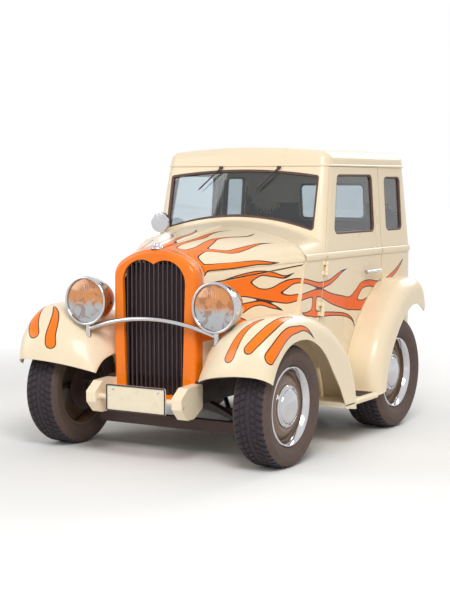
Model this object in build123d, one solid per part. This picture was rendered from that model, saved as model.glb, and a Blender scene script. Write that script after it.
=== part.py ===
from build123d import *
from math import atan2, cos, radians, sin, sqrt, tan
import os

# Hot rod: a short 1930s two-door sedan with open-sided hood, separate fenders and a
# dropped front axle. Millimetres, +Z up, nose towards -Y, car's left at +X, origin on
# the floor under the middle of its box.

# Wheels and axles
FRONT_AXLE_Y = -880
REAR_AXLE_Y = 550
FRONT_TRACK = 1393
REAR_TRACK = 1354
FRONT_TYRE_R = 335
FRONT_TYRE_W = 221
REAR_TYRE_R = 350
REAR_TYRE_W = 260
RIM_R = 222
RIM_WALL = 6
DISC_T = 12
HUBCAP_R = 118
HUB_R = 45
KINGPIN_X = 560
KINGPIN_R = 13
STEER_ARM = 125
STEER_LOCK = 28
TYRE_CLEAR = 14
TIE_ROD_R = 9
RUN_FIT = 0.05

# Body shell
RAKE = 12
BELT_Z = 1112
SILL_Z = 455
WALL = 32
COWL_Y = -360
COWL_HALF = 600
BODY_HALF = 634
BODY_REAR_Y = 1245
BACK_LEAN = 65
REAR_CORNER_R = 210
SCREEN_Y = -150
SCREEN_CORNER_R = 72
ROOF_Z = 1765
ROOF_HALF = 592
ROOF_FILLET = 60
ROOF_CROWN_R = 5000
DRIP_Z = 1650
DOOR_FRONT_Y = -105
DOOR_REAR_Y = 650
DOOR_GAP = 7
SEAM = 0.4
GLASS_T = 5
BACK_SPLIT_X = 400

# Hood and grille
NOSE_Y = -972
NOSE_HALF = 275
NOSE_CREST_Z = 1180
NOSE_CORNER_R = 110
NOSE_CROWN_R = 400
COWL_CREST_Z = 1285
COWL_CORNER_R = 130
COWL_CROWN_R = 1600
HOOD_T = 10
HOOD_GAP = 8
HOOD_SPLIT_NOSE_Z = 990
HOOD_SPLIT_COWL_Z = 1080
HINGE_R = 8
HINGE_FIT = 0.3
HINGE_RISE = 2
HOOD_TAIL_Y = -290
CLEAR_INSET = -0.4
SHELL_DEPTH = 78
SHELL_WALL = 14
SHELL_FACE = 22
SHELL_ROUND = 28
SHELL_BOTTOM_Z = 335
GRILLE_TOP_HALF = 210
GRILLE_BOTTOM_HALF = 190
GRILLE_BOTTOM_Z = 365
GRILLE_SHOULDER_Z = 1000
GRILLE_DIP_Z = 1094
GRILLE_BARS = 13
BAR_W = 7
BAR_DEPTH = 22

# Chassis
RAIL_X = 285
RAIL_HALF = 32
RAIL_BOTTOM_Z = 335
RAIL_TOP_Z = 455
HOOD_SIDE_Z = RAIL_TOP_Z
KICK_Z = 95
HORN_TIP_Y = -1258
HORN_BORE_R = 8
PLATE_W = 395
PLATE_H = 150
FLOOR_T = 15

# Fenders
FENDER_T = 6
FENDER_OUT_X = 836
FENDER_CREST_X = 742
WELL_R = 372
BOARD_TOP_Z = 276
BOARD_T = 32
BOARD_REAR_Y = 150
BOARD_FRONT_Y = -300
SPLASH_X = 588
PAD_X = (612, 812)
PAD_Y = (-70, 135)
PAD_T = 4

# Grille, radiator and nose fittings
GRILLE_LOBE = (125, 1110)
CAP_Y = -1011
CAP_R = 37
CAP_H = 32
RADIATOR_HALF = 235
RADIATOR_T = 60
SPREADER_Y = -1212
SPREADER_R = 16
PLATE_T = 6
PLATE_Z = 357

# Rails along the car
RAIL_FRONT_Y = -1040
KICK_START_Y = 60
KICK_FULL_Y = 200
KICK_END_Y = 760
TAIL_START_Y = 880
RAIL_REAR_Y = 1195
CENTRE_CROSS_Y = -400
REAR_SPRING_Y = 705
HORN_LOW_Z = 262
HORN_BORE_Y = -1232
HORN_BORE_Z = 335
SPLASH_T = 10
BOARD_BRACKETS = (-190, 20)

# Floor, engine and drive line
FLOOR_KICK_Y = 40
TUB_X = 515
TUB_T = 5
ENGINE_HALF = 200
ENGINE_FRONT_Y = -830
ENGINE_REAR_Y = -520
ENGINE_LOW_Z = 345
ENGINE_HIGH_Z = 880
GEARBOX_HALF = 110
GEARBOX_REAR_Y = -60
SHAFT_R = 30
DIFF_R = 115
DIFF_HALF = 85
EXHAUST_Y = -640
EXHAUST_Z = 285
EXHAUST_END_Y = 1235
PIPE_R = 20
MUFFLER_Y = -120
MUFFLER_L = 300
MUFFLER_R = 46

# Axles, springs and steering
EYE_R = 24
EYE_H = 60
EAR_T = 18
BEAM_HALF = 470
BEAM_LOW_Z = 150
BEAM_H = 66
BEAM_T = 44
RADIUS_ROD_R = 14
AXLE_R = 40
AXLE_END_X = 520
SPINDLE_R = 22
SPRING_HALF = 430
SPRING_T = 60
SPRING_W = 50
BACKING_R = 135
TIE_DROP = 24
TIE_PIN_R = 7
TIE_EYE_HALF = 12

# Lamps and small fittings
LAMP_X = 430
LAMP_Z = 875
LAMP_FRONT_Y = -1108
LAMP_R = 138
LAMP_DEPTH = 235
BAR_Y = -1076
BAR_R = 13
BAR_END_Z = 712
BAR_MID_Z = 790
HINGE_OUT = 14
DOOR_HINGE_Z = (800, 1040)
HINGE_LONG = 42
PIN_R = 6
BARREL_R = 11
BARREL_HALF = 17
LEAF = 30
HANDLE_Y = 470
HANDLE_Z = 990
HANDLE_L = 210
HANDLE_OUT = 34
HANDLE_R = 12
MIRROR_X = 520
MIRROR_Y = -200
MIRROR_Z = 1300
MIRROR_R = 64
MIRROR_T = 22
WIPER_X = (-160, 250)
WIPER_Z = 1638
WIPER_DROP = 135
WIPER_REACH = 145
WIPER_OUT = 10
TAIL_X = 345
TAIL_Z = 650
TAIL_R = 46

# Cabin
STEER_X = 300
STEER_Y = 95
STEER_Z = 1080
STEER_R = 185
STEER_RIM = 11
COLUMN_TILT = 30
COLUMN_L = 660
DASH_Y = -60
DASH_T = 30
DASH_LOW_Z = 1085
DASH_HIGH_Z = 1225
SEAT_HALF = 495
SEAT_Y = 240
REAR_SEAT_Y = 790
CUSHION_T = 170
BACK_T = 95

# Wheels: disc and hub
DISC_OUT = 46
HUB_IN = 40
SPINDLE_OUT = 40
RIM_FIT = 0.3

# Door and window openings
DOOR_CUT_Z = 700
DOOR_SILL_W = 130
DOOR_TAIL_RISE = 0.24
SIDE_IN_X = 470
SIDE_OUT_X = 900
DOOR_WINDOW_IN = 85
WINDOW_LOW_Z = 1236
WINDOW_HIGH_Z = 1598
DOOR_WINDOW_REAR_Y = 570
QUARTER_WINDOW = (735, 985)
QUARTER_WINDOW_HIGH_Z = 1585
WINDOW_CORNER_R = 40
SCREEN_HALF = 525
SCREEN_LOW_Z = 1256
SCREEN_LOW_RISE = 80
SCREEN_HIGH_Z = 1592
SCREEN_HIGH_RISE = 36
BACK_HALF = 250
BACK_LOW_Z = 1290
BACK_HIGH_Z = 1540
MID_Y = 90
GLASS_IN = (WALL - GLASS_T) / 2
GLASS_FIT = 0.3

# Fender tables: angle about the axle from rearwards, crest radius, lip radius, inner edge's x
# and how far that edge lies below the crest
FRONT_FENDER = [
    (152, 436, 340, 345, 150),
    (132, 492, 352, 335, 215),
    (110, 517, 362, 300, 258),
    (90, 503, 365, 270, 245),
    (62, 528, 380, 270, 220),
    (37, 611, 405, 330, 180),
    (18, 704, 440, 430, 130),
    (2, 770, 520, 500, 100),
    (-9, 804, 596, 520, 90),
]
REAR_FENDER = [
    (196, 392, 292, 585, 12),
    (180, 392, 262, 585, 12),
    (152, 392, 245, 585, 12),
    (125, 412, 262, 585, 12),
    (105, 460, 305, 585, 12),
    (87, 550, 372, 585, 12),
    (73, 615, 440, 585, 12),
    (61, 650, 470, 585, 12),
    (50, 590, 478, 585, 12),
]
FENDER_CLEAR = 16

RAKE_TAN = tan(radians(RAKE))
FAR = 3000

os.makedirs("parts", exist_ok=True)


def save(name, *solids):
    """Write one node, its separate solids side by side."""
    loose = [piece for shape in solids for piece in shape.solids()]
    export_step(Compound(children=loose), "parts/" + name + ".step")


def block(x0, x1, y0, y1, z0, z1):
    """A box given by its two corners."""
    centre = Pos((x0 + x1) / 2, (y0 + y1) / 2, (z0 + z1) / 2)
    return centre * Box(x1 - x0, y1 - y0, z1 - z0)


def rod(start, end, radius):
    """A round bar between two points."""
    axis = Vector(*end) - Vector(*start)
    seat = Plane(origin=start, z_dir=axis.normalized())
    return extrude(seat * Circle(radius), amount=axis.length)


def side_prism(points, x0, x1):
    """A side-view (y, z) polygon carried across from x0 to x1."""
    face = Plane.YZ.offset(x0) * make_face(Polyline(*points, close=True))
    return extrude(face, amount=x1 - x0)


def front_prism(face, y0, y1):
    """A front-view (x, z) face carried along from y0 to y1."""
    placed = Plane(origin=(0, y0, 0), x_dir=(1, 0, 0), z_dir=(0, -1, 0)) * face
    return extrude(placed, amount=y1 - y0, dir=(0, 1, 0))


def both_sides(shape):
    """A left-hand shape with its right-hand twin."""
    return [shape, mirror(shape, about=Plane.YZ)]


def raked_y(y_at_belt, z):
    """Where a line with the body's rake, placed at the belt, is at height z."""
    return y_at_belt + (z - BELT_Z) * RAKE_TAN


def ahead_of(y_at_belt):
    """All the space in front of a raked plane."""
    low = raked_y(y_at_belt, -FAR)
    high = raked_y(y_at_belt, FAR)
    return side_prism([(low, -FAR), (high, FAR), (-2 * FAR, FAR), (-2 * FAR, -FAR)], -FAR, FAR)


def body_half(y):
    """Half-width of the body's flat side, which widens from the cowl back."""
    grow = (BODY_HALF - COWL_HALF) / (BODY_REAR_Y - COWL_Y)
    return COWL_HALF + grow * (y - COWL_Y)


def crest_z(y):
    """Height of the hood's crest line, carried on over the cowl."""
    rear = raked_y(COWL_Y, COWL_CREST_Z)
    return NOSE_CREST_Z + (y - NOSE_Y) * (COWL_CREST_Z - NOSE_CREST_Z) / (rear - NOSE_Y)


def hood_half(y):
    """Half-width of the hood, from the nose back to the cowl."""
    return NOSE_HALF + (y - NOSE_Y) * (COWL_HALF - NOSE_HALF) / (COWL_Y - NOSE_Y)


def arch_face(half, crest, corner_r, crown_r, bottom):
    """Upright sides, round shoulders and a crowned top, as lines and tangent arcs."""
    crown_c = crest - crown_r
    reach = crown_r - corner_r
    shoulder = crown_c + sqrt(reach ** 2 - (half - corner_r) ** 2)
    ux = (half - corner_r) / reach
    uz = (shoulder - crown_c) / reach
    meet = (crown_r * ux, crown_c + crown_r * uz)
    turn = (atan2(uz, ux)) / 2
    middle = (half - corner_r + corner_r * cos(turn), shoulder + corner_r * sin(turn))
    outline = [
        Line((-half, bottom), (half, bottom)),
        Line((half, bottom), (half, shoulder)),
        ThreePointArc((half, shoulder), middle, meet),
        ThreePointArc(meet, (0, crest), (-meet[0], meet[1])),
        ThreePointArc((-meet[0], meet[1]), (-middle[0], middle[1]), (-half, shoulder)),
        Line((-half, shoulder), (-half, bottom)),
    ]
    return make_face(outline)


def at_y(face, y):
    """Stand a front-view (x, z) face up at a place along the car."""
    return Plane(origin=(0, y, 0), x_dir=(1, 0, 0), z_dir=(0, -1, 0)) * face


def plan_face(inset, front_y, front_r, half_shift, rear_y, rear_r, z):
    """Plan outline of the body at one height, with rounded corners."""
    front = front_y + inset
    rear = rear_y - inset
    front_half = body_half(front) - half_shift - inset
    rear_half = body_half(rear) - half_shift - inset
    corners = [(front_half, front), (rear_half, rear), (-rear_half, rear), (-front_half, front)]
    face = make_face(Polyline(*corners, close=True))
    ranked = face.vertices().sort_by(Axis.Y)
    face = fillet(ranked[-2:], rear_r - inset)
    if front_r:
        face = fillet(face.vertices().sort_by(Axis.Y)[:2], front_r - inset)
    return Pos(0, 0, z) * face


def body_solid(inset, floor_z=SILL_Z):
    """The closed body form, drawn in by an inset: tub, cowl top and greenhouse."""
    nose = raked_y(COWL_Y, 0) - 50
    tub_face = plan_face(inset, nose, 0, 0, BODY_REAR_Y, REAR_CORNER_R, floor_z)
    tub = extrude(tub_face, amount=BELT_Z - floor_z, dir=(0, 0, 1))
    arches = []
    for y in (nose, SCREEN_Y + 150):
        arches.append(at_y(arch_face(body_half(y) - inset, crest_z(y) - inset, COWL_CORNER_R - inset,
                                     COWL_CROWN_R - inset, floor_z), y))
    cowl_top = loft(arches, ruled=True)
    cowl_top -= block(-FAR, FAR, -FAR, FAR, -FAR, BELT_Z)
    lean = (ROOF_Z - BELT_Z) * RAKE_TAN
    low = plan_face(inset, SCREEN_Y, SCREEN_CORNER_R, 0, BODY_REAR_Y, REAR_CORNER_R, BELT_Z)
    high = plan_face(inset, SCREEN_Y + lean, SCREEN_CORNER_R, BODY_HALF - ROOF_HALF,
                     BODY_REAR_Y - BACK_LEAN, REAR_CORNER_R, ROOF_Z - inset)
    house = loft([low, high], ruled=True)
    crown_centre = ROOF_Z - inset - ROOF_CROWN_R
    house = house & rod((0, -FAR, crown_centre), (0, FAR, crown_centre), ROOF_CROWN_R)
    rim = house.faces().sort_by(Axis.Z)[-1].edges()
    house = fillet(rim, ROOF_FILLET - inset)
    body = tub + house + cowl_top
    return body - ahead_of(COWL_Y + inset / cos(radians(RAKE)))


def around(axle_y, axle_z, angle, radius):
    """Side-view point at an angle and radius about an axle."""
    turn = radians(angle)
    return (axle_y + radius * cos(turn), axle_z + radius * sin(turn))


def door_face():
    """Side view of a door: raked front, corner cut clear of the front fender, tail over the rear one."""
    top = DRIP_Z - DOOR_GAP
    tail = []
    for angle, crest_r, lip_r, inner_x, inner_drop in REAR_FENDER:
        y, z = around(REAR_AXLE_Y, REAR_TYRE_R, angle, crest_r + FENDER_CLEAR)
        if z > SILL_Z + 40 and y < DOOR_REAR_Y:
            tail.append((y, z))
    last_y, last_z = tail[-1]
    reach = REAR_FENDER[0][1] + FENDER_CLEAR
    sill_y = REAR_AXLE_Y - sqrt(reach ** 2 - (SILL_Z - REAR_TYRE_R) ** 2)
    corner = (DOOR_REAR_Y, last_z + (DOOR_REAR_Y - last_y) * DOOR_TAIL_RISE)
    lower = DOOR_CUT_Z
    points = [(raked_y(DOOR_FRONT_Y, top), top), (DOOR_REAR_Y, top), corner]
    points += list(reversed(tail))
    points += [(sill_y, SILL_Z), (sill_y - DOOR_SILL_W, SILL_Z), (raked_y(DOOR_FRONT_Y, lower), lower)]
    return make_face(Polyline(*points, close=True))


def rounded(points, radius):
    """A polygon face with all its corners rounded."""
    face = make_face(Polyline(*points, close=True))
    return fillet(face.vertices(), radius)


def across(face, x0, x1):
    """A side-view (y, z) face carried across from x0 to x1."""
    return extrude(Plane.YZ.offset(x0) * face, amount=x1 - x0)


# Body panels: one hollow form, split where the real panels meet
form = body_solid(0)
inner_form = body_solid(WALL, SILL_Z - 200)
shell = form - inner_form
well = rod((SIDE_IN_X, REAR_AXLE_Y, REAR_TYRE_R), (SIDE_OUT_X, REAR_AXLE_Y, REAR_TYRE_R), WELL_R)
shell -= Compound(children=both_sides(well))
door = door_face()
door_prism = across(door, SIDE_IN_X, SIDE_OUT_X)
hole_prism = across(offset(door, amount=DOOR_GAP, kind=Kind.INTERSECTION), SIDE_IN_X, SIDE_OUT_X)
fixed = shell
for hole in both_sides(hole_prism):
    fixed -= hole
door_window = rounded([
    (raked_y(DOOR_FRONT_Y + DOOR_WINDOW_IN, WINDOW_LOW_Z), WINDOW_LOW_Z),
    (raked_y(DOOR_FRONT_Y + DOOR_WINDOW_IN, WINDOW_HIGH_Z), WINDOW_HIGH_Z),
    (DOOR_WINDOW_REAR_Y, WINDOW_HIGH_Z),
    (DOOR_WINDOW_REAR_Y, WINDOW_LOW_Z),
], WINDOW_CORNER_R)
quarter_window = rounded([
    (QUARTER_WINDOW[0], WINDOW_LOW_Z),
    (QUARTER_WINDOW[0], QUARTER_WINDOW_HIGH_Z),
    (QUARTER_WINDOW[1], QUARTER_WINDOW_HIGH_Z),
    (QUARTER_WINDOW[1], WINDOW_LOW_Z),
], WINDOW_CORNER_R)
back_window = rounded([
    (-BACK_HALF, BACK_LOW_Z),
    (-BACK_HALF, BACK_HIGH_Z),
    (BACK_HALF, BACK_HIGH_Z),
    (BACK_HALF, BACK_LOW_Z),
], WINDOW_CORNER_R)
screen = make_face([
    ThreePointArc((-SCREEN_HALF, SCREEN_LOW_Z), (0, SCREEN_LOW_Z + SCREEN_LOW_RISE),
                  (SCREEN_HALF, SCREEN_LOW_Z)),
    Line((SCREEN_HALF, SCREEN_LOW_Z), (SCREEN_HALF, SCREEN_HIGH_Z)),
    ThreePointArc((SCREEN_HALF, SCREEN_HIGH_Z), (0, SCREEN_HIGH_Z + SCREEN_HIGH_RISE),
                  (-SCREEN_HALF, SCREEN_HIGH_Z)),
    Line((-SCREEN_HALF, SCREEN_HIGH_Z), (-SCREEN_HALF, SCREEN_LOW_Z)),
])
screen = fillet(screen.vertices(), WINDOW_CORNER_R / 2)

above_drip = block(-FAR, FAR, -FAR, FAR, DRIP_Z, FAR)
under_drip = block(-FAR, FAR, -FAR, FAR, -FAR, DRIP_Z - SEAM)
above_belt = block(-FAR, FAR, -FAR, FAR, BELT_Z, FAR)
roof = fixed & above_drip
lower = fixed & under_drip
front = lower & block(-FAR, FAR, -FAR, MID_Y, -FAR, FAR)
rear = lower & block(-FAR, FAR, MID_Y, FAR, -FAR, FAR)
cowl = front - (above_belt - ahead_of(SCREEN_Y))
screen_zone = block(-FAR, FAR, -FAR, FAR, BELT_Z + SEAM, FAR) - ahead_of(SCREEN_Y + SEAM)
screen_prism = front_prism(screen, -FAR / 10, FAR / 10)
windscreen_frame = (front & screen_zone) - screen_prism
back_zone = block(-BACK_SPLIT_X, BACK_SPLIT_X, -FAR, FAR, -FAR, FAR)
back_prism = front_prism(back_window, MID_Y, 2 * FAR / 3)
rear_panel = (rear & back_zone) - back_prism
quarter_prism = across(quarter_window, SIDE_IN_X, SIDE_OUT_X)
quarter_zone = block(BACK_SPLIT_X + SEAM, FAR, -FAR, FAR, -FAR, FAR)
quarter_left = (rear & quarter_zone) - quarter_prism
window_prism = across(door_window, SIDE_IN_X, SIDE_OUT_X)
door_left = (shell & door_prism) - window_prism

# Glass: one thin skin in the middle of the wall, cut to each window
glass_skin = body_solid(GLASS_IN) - body_solid(GLASS_IN + GLASS_T)
panes = []
for face in (door_window, quarter_window):
    pane_prism = across(offset(face, amount=-GLASS_FIT), SIDE_IN_X, SIDE_OUT_X)
    panes.append(glass_skin & pane_prism)
door_glass, quarter_glass = panes
screen_glass = glass_skin & front_prism(offset(screen, amount=-GLASS_FIT), -FAR / 10, FAR / 10)
screen_glass = screen_glass & block(-FAR, FAR, -FAR, MID_Y, -FAR, FAR)
back_glass = glass_skin & front_prism(offset(back_window, amount=-GLASS_FIT), MID_Y, 2 * FAR / 3)


def hood_solid(inset, run_out):
    """The closed hood form, drawn in by an inset and run on past both its ends."""
    sections = []
    for y, corner_r, crown_r in ((NOSE_Y - run_out, NOSE_CORNER_R, NOSE_CROWN_R),
                                 (HOOD_TAIL_Y + run_out, COWL_CORNER_R, COWL_CROWN_R)):
        face = arch_face(hood_half(y) - inset, crest_z(y) - inset, corner_r - inset, crown_r - inset,
                         HOOD_SIDE_Z - run_out)
        sections.append(at_y(face, y))
    return loft(sections, ruled=True)


def split_z(y):
    """Height of the joint between the hood's lids and its fixed sides."""
    rise = (HOOD_SPLIT_COWL_Z - HOOD_SPLIT_NOSE_Z) / (COWL_Y - NOSE_Y)
    return HOOD_SPLIT_NOSE_Z + (y - NOSE_Y) * rise


def fender(axle_y, axle_z, table):
    """A crowned fender sheet: strips of arcs, each in a plane through the axle, lofted in turn."""
    round_r = FENDER_OUT_X - FENDER_CREST_X
    sections = []
    for angle, crest_r, lip_r, inner_x, inner_drop in table:
        span = FENDER_CREST_X - inner_x
        crown_r = (span ** 2 + inner_drop ** 2) / (2 * inner_drop)
        half_turn = atan2(span, crown_r - inner_drop) / 2
        skins = []
        for depth in (0, FENDER_T):
            top = crest_r - depth
            corner_r = round_r - depth
            low = (inner_x, top - inner_drop)
            mid = (FENDER_CREST_X - crown_r * sin(half_turn), top - crown_r * (1 - cos(half_turn)))
            crest = (FENDER_CREST_X, top)
            bend = (FENDER_CREST_X + corner_r * sin(radians(45)), top - corner_r * (1 - cos(radians(45))))
            side = (FENDER_CREST_X + corner_r, top - corner_r)
            lip = (FENDER_CREST_X + corner_r, lip_r)
            skins.append((low, mid, crest, bend, side, lip))
        outer, inner = skins
        outline = [
            ThreePointArc(outer[0], outer[1], outer[2]),
            ThreePointArc(outer[2], outer[3], outer[4]),
            Line(outer[4], outer[5]),
            Line(outer[5], inner[5]),
            Line(inner[5], inner[4]),
            ThreePointArc(inner[4], inner[3], inner[2]),
            ThreePointArc(inner[2], inner[1], inner[0]),
            Line(inner[0], outer[0]),
        ]
        turn = radians(angle)
        plane = Plane(origin=(0, axle_y, axle_z), x_dir=(1, 0, 0), z_dir=(0, -sin(turn), cos(turn)))
        sections.append(plane * make_face(outline))
    return loft(sections)



# Hood: two lids on a crest hinge, over fixed sides
hood_shell = hood_solid(0, 0) - hood_solid(HOOD_T, 20)
hood_form = hood_solid(CLEAR_INSET, 0)
lid_y = NOSE_Y + HOOD_GAP
lid_zone = side_prism([(lid_y, split_z(lid_y)), (0, split_z(0)), (0, FAR), (lid_y, FAR)], 0, FAR)
side_zone = side_prism([(-FAR, split_z(-FAR) - HOOD_GAP), (0, split_z(0) - HOOD_GAP), (0, -FAR),
                        (-FAR, -FAR)], 0, FAR)
hinge_front = (0, NOSE_Y, crest_z(NOSE_Y) + HINGE_RISE)
hinge_rear = (0, HOOD_TAIL_Y, crest_z(HOOD_TAIL_Y) + HINGE_RISE)
hinge_rod = rod(hinge_front, hinge_rear, HINGE_R) & block(-FAR, FAR, NOSE_Y, FAR, 0, FAR)
hinge_rod = hinge_rod & ahead_of(COWL_Y)
hinge_room = rod((0, NOSE_Y - 20, crest_z(NOSE_Y - 20) + HINGE_RISE),
                 (0, HOOD_TAIL_Y + 20, crest_z(HOOD_TAIL_Y + 20) + HINGE_RISE), HINGE_R + HINGE_FIT)
hood_left = (hood_shell & lid_zone & ahead_of(COWL_Y - HOOD_GAP)) - hinge_room
hood_left -= block(-4, 4, -FAR, FAR, 0, FAR)
hood_side = hood_shell & side_zone & ahead_of(COWL_Y)
kingpin = Pos(KINGPIN_X, FRONT_AXLE_Y, FRONT_TYRE_R)
tyre_in = FRONT_TRACK / 2 - FRONT_TYRE_W / 2 - TYRE_CLEAR - KINGPIN_X
for lock in (STEER_LOCK, 0.8 * STEER_LOCK):
    hood_side -= kingpin * Rot(0, 0, lock) * rod((tyre_in, 0, 0), (FAR, 0, 0), FRONT_TYRE_R + TYRE_CLEAR)

# Grille shell, bars and cap
shell_front_y = NOSE_Y - SHELL_DEPTH
nose_arch = arch_face(NOSE_HALF, NOSE_CREST_Z, NOSE_CORNER_R, NOSE_CROWN_R, SHELL_BOTTOM_Z)
shell_solid = front_prism(nose_arch, shell_front_y, NOSE_Y)
front_rim = shell_solid.faces().sort_by(Axis.Y)[0].edges().sort_by(Axis.Z)[1:]
shell_solid = fillet(front_rim, SHELL_ROUND)
inner_arch = arch_face(NOSE_HALF - SHELL_WALL, NOSE_CREST_Z - SHELL_WALL, NOSE_CORNER_R - SHELL_WALL,
                       NOSE_CROWN_R - SHELL_WALL, SHELL_BOTTOM_Z + SHELL_WALL)
opening = make_face([
    Line((-GRILLE_BOTTOM_HALF, GRILLE_BOTTOM_Z), (GRILLE_BOTTOM_HALF, GRILLE_BOTTOM_Z)),
    Line((GRILLE_BOTTOM_HALF, GRILLE_BOTTOM_Z), (GRILLE_TOP_HALF, GRILLE_SHOULDER_Z)),
    ThreePointArc((GRILLE_TOP_HALF, GRILLE_SHOULDER_Z), GRILLE_LOBE, (0, GRILLE_DIP_Z)),
    ThreePointArc((0, GRILLE_DIP_Z), (-GRILLE_LOBE[0], GRILLE_LOBE[1]),
                  (-GRILLE_TOP_HALF, GRILLE_SHOULDER_Z)),
    Line((-GRILLE_TOP_HALF, GRILLE_SHOULDER_Z), (-GRILLE_BOTTOM_HALF, GRILLE_BOTTOM_Z)),
])
opening_prism = front_prism(opening, shell_front_y - 10, NOSE_Y)
grille_shell = shell_solid - front_prism(inner_arch, shell_front_y + SHELL_FACE, NOSE_Y + 10) - opening_prism
bars = []
for number in range(GRILLE_BARS):
    share = (number + 1) / (GRILLE_BARS + 1)
    bar_x = (2 * share - 1) * GRILLE_TOP_HALF
    bar = block(bar_x - BAR_W / 2, bar_x + BAR_W / 2, shell_front_y + 6, shell_front_y + 6 + BAR_DEPTH - 8,
                SHELL_BOTTOM_Z, NOSE_CREST_Z)
    bars.append(bar & opening_prism)
cap = rod((0, CAP_Y, NOSE_CREST_Z - 20), (0, CAP_Y, NOSE_CREST_Z + 14), CAP_R)
cap += rod((0, CAP_Y, NOSE_CREST_Z + 14), (0, CAP_Y, NOSE_CREST_Z + CAP_H), CAP_R * 0.6)
cap -= front_prism(nose_arch, -FAR, FAR)
radiator = block(-RADIATOR_HALF, RADIATOR_HALF, NOSE_Y, NOSE_Y + RADIATOR_T, RAIL_TOP_Z, NOSE_CREST_Z - 90)

# Fenders and running boards
under_board = block(-FAR, FAR, -FAR, FAR, -FAR, BOARD_TOP_Z + SEAM)
body_room = body_solid(CLEAR_INSET, 0)
front_fender = fender(FRONT_AXLE_Y, FRONT_TYRE_R, FRONT_FENDER)
front_fender = front_fender - hood_form - body_room - under_board
rear_fender = fender(REAR_AXLE_Y, REAR_TYRE_R, REAR_FENDER) - body_room
board_in = SPLASH_X - SPLASH_T
board = block(board_in, FENDER_OUT_X, BOARD_FRONT_Y, BOARD_REAR_Y, BOARD_TOP_Z - BOARD_T, BOARD_TOP_Z)
board = fillet(board.edges().filter_by(Axis.Y).sort_by(Axis.X)[-2:], BOARD_T * 0.4)
board += block(board_in, SPLASH_X, BOARD_FRONT_Y, BOARD_REAR_Y, BOARD_TOP_Z, SILL_Z)
board += block(*PAD_X, *PAD_Y, BOARD_TOP_Z, BOARD_TOP_Z + PAD_T)
for bracket_y in BOARD_BRACKETS:
    board += block(RAIL_X + RAIL_HALF, board_in, bracket_y, bracket_y + 40,
                   RAIL_BOTTOM_Z + 10, RAIL_BOTTOM_Z + 50)

# Frame: kicked-up rails with crossmembers, and the front horns
kick_top = RAIL_TOP_Z + KICK_Z
kick_bottom = RAIL_BOTTOM_Z + KICK_Z
tail_drop = KICK_Z * 0.55
rail = side_prism([
    (RAIL_FRONT_Y, RAIL_BOTTOM_Z), (KICK_START_Y, RAIL_BOTTOM_Z), (KICK_FULL_Y, kick_bottom),
    (KICK_END_Y, kick_bottom), (TAIL_START_Y, kick_bottom - tail_drop), (RAIL_REAR_Y, kick_bottom - tail_drop),
    (RAIL_REAR_Y, kick_top - tail_drop), (TAIL_START_Y, kick_top - tail_drop), (KICK_END_Y, kick_top),
    (KICK_FULL_Y, kick_top), (KICK_START_Y, RAIL_TOP_Z), (RAIL_FRONT_Y, RAIL_TOP_Z),
], RAIL_X - RAIL_HALF, RAIL_X + RAIL_HALF)
frame = both_sides(rail)[0] + both_sides(rail)[1]
cross_in = RAIL_X - RAIL_HALF
for cross_y, cross_low, cross_high in (
    (FRONT_AXLE_Y, RAIL_TOP_Z - 90, RAIL_TOP_Z),
    (CENTRE_CROSS_Y, RAIL_BOTTOM_Z, RAIL_BOTTOM_Z + 45),
    (REAR_SPRING_Y, kick_bottom - 20, kick_bottom + 40),
    (RAIL_REAR_Y - 40, kick_bottom - tail_drop, kick_top - tail_drop),
):
    frame += block(-cross_in, cross_in, cross_y - 35, cross_y + 35, cross_low, cross_high)
horn_face = rounded([
    (RAIL_FRONT_Y, RAIL_BOTTOM_Z - 25), (RAIL_FRONT_Y, RAIL_TOP_Z - 12), (HORN_TIP_Y + 70, RAIL_TOP_Z - 18),
    (HORN_TIP_Y, RAIL_TOP_Z - 70), (HORN_TIP_Y, RAIL_TOP_Z - 130), (HORN_TIP_Y + 60, HORN_LOW_Z),
    (RAIL_FRONT_Y - 90, HORN_LOW_Z),
], 12)
horn = across(horn_face, RAIL_X - RAIL_HALF, RAIL_X + RAIL_HALF)
horn -= rod((0, HORN_BORE_Y, HORN_BORE_Z), (FAR, HORN_BORE_Y, HORN_BORE_Z), HORN_BORE_R)
spreader = rod((-cross_in, SPREADER_Y, PLATE_Z), (cross_in, SPREADER_Y, PLATE_Z), SPREADER_R)
plate_rear = SPREADER_Y - SPREADER_R
plate = block(-PLATE_W / 2, PLATE_W / 2, plate_rear - PLATE_T, plate_rear, PLATE_Z - PLATE_H / 2,
              PLATE_Z + PLATE_H / 2)
plate = fillet(plate.edges().filter_by(Axis.Y), 12)
grille_shell = grille_shell - frame - horn - mirror(horn, about=Plane.YZ)

# Floor pan with its kick-up and wheel tubs
floor_low = SILL_Z
floor_high = SILL_Z + KICK_Z
pan = side_prism([
    (-FAR, floor_low), (FLOOR_KICK_Y, floor_low), (FLOOR_KICK_Y, floor_high), (FAR, floor_high),
    (FAR, floor_high + FLOOR_T), (FLOOR_KICK_Y - FLOOR_T, floor_high + FLOOR_T),
    (FLOOR_KICK_Y - FLOOR_T, floor_low + FLOOR_T), (-FAR, floor_low + FLOOR_T),
], -FAR, FAR)
tub_zone = block(-FAR, FAR, -FAR, FAR, floor_high, FAR)
for side in (-1, 1):
    hub = (0, REAR_AXLE_Y, REAR_TYRE_R)
    far_end = (side * FAR, REAR_AXLE_Y, REAR_TYRE_R)
    tub = rod((side * TUB_X, hub[1], hub[2]), far_end, WELL_R + TUB_T)
    pan = pan - tub + (tub & tub_zone)
    pan -= rod((side * (TUB_X + TUB_T), hub[1], hub[2]), far_end, WELL_R)
floor_pan = pan & inner_form

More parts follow.
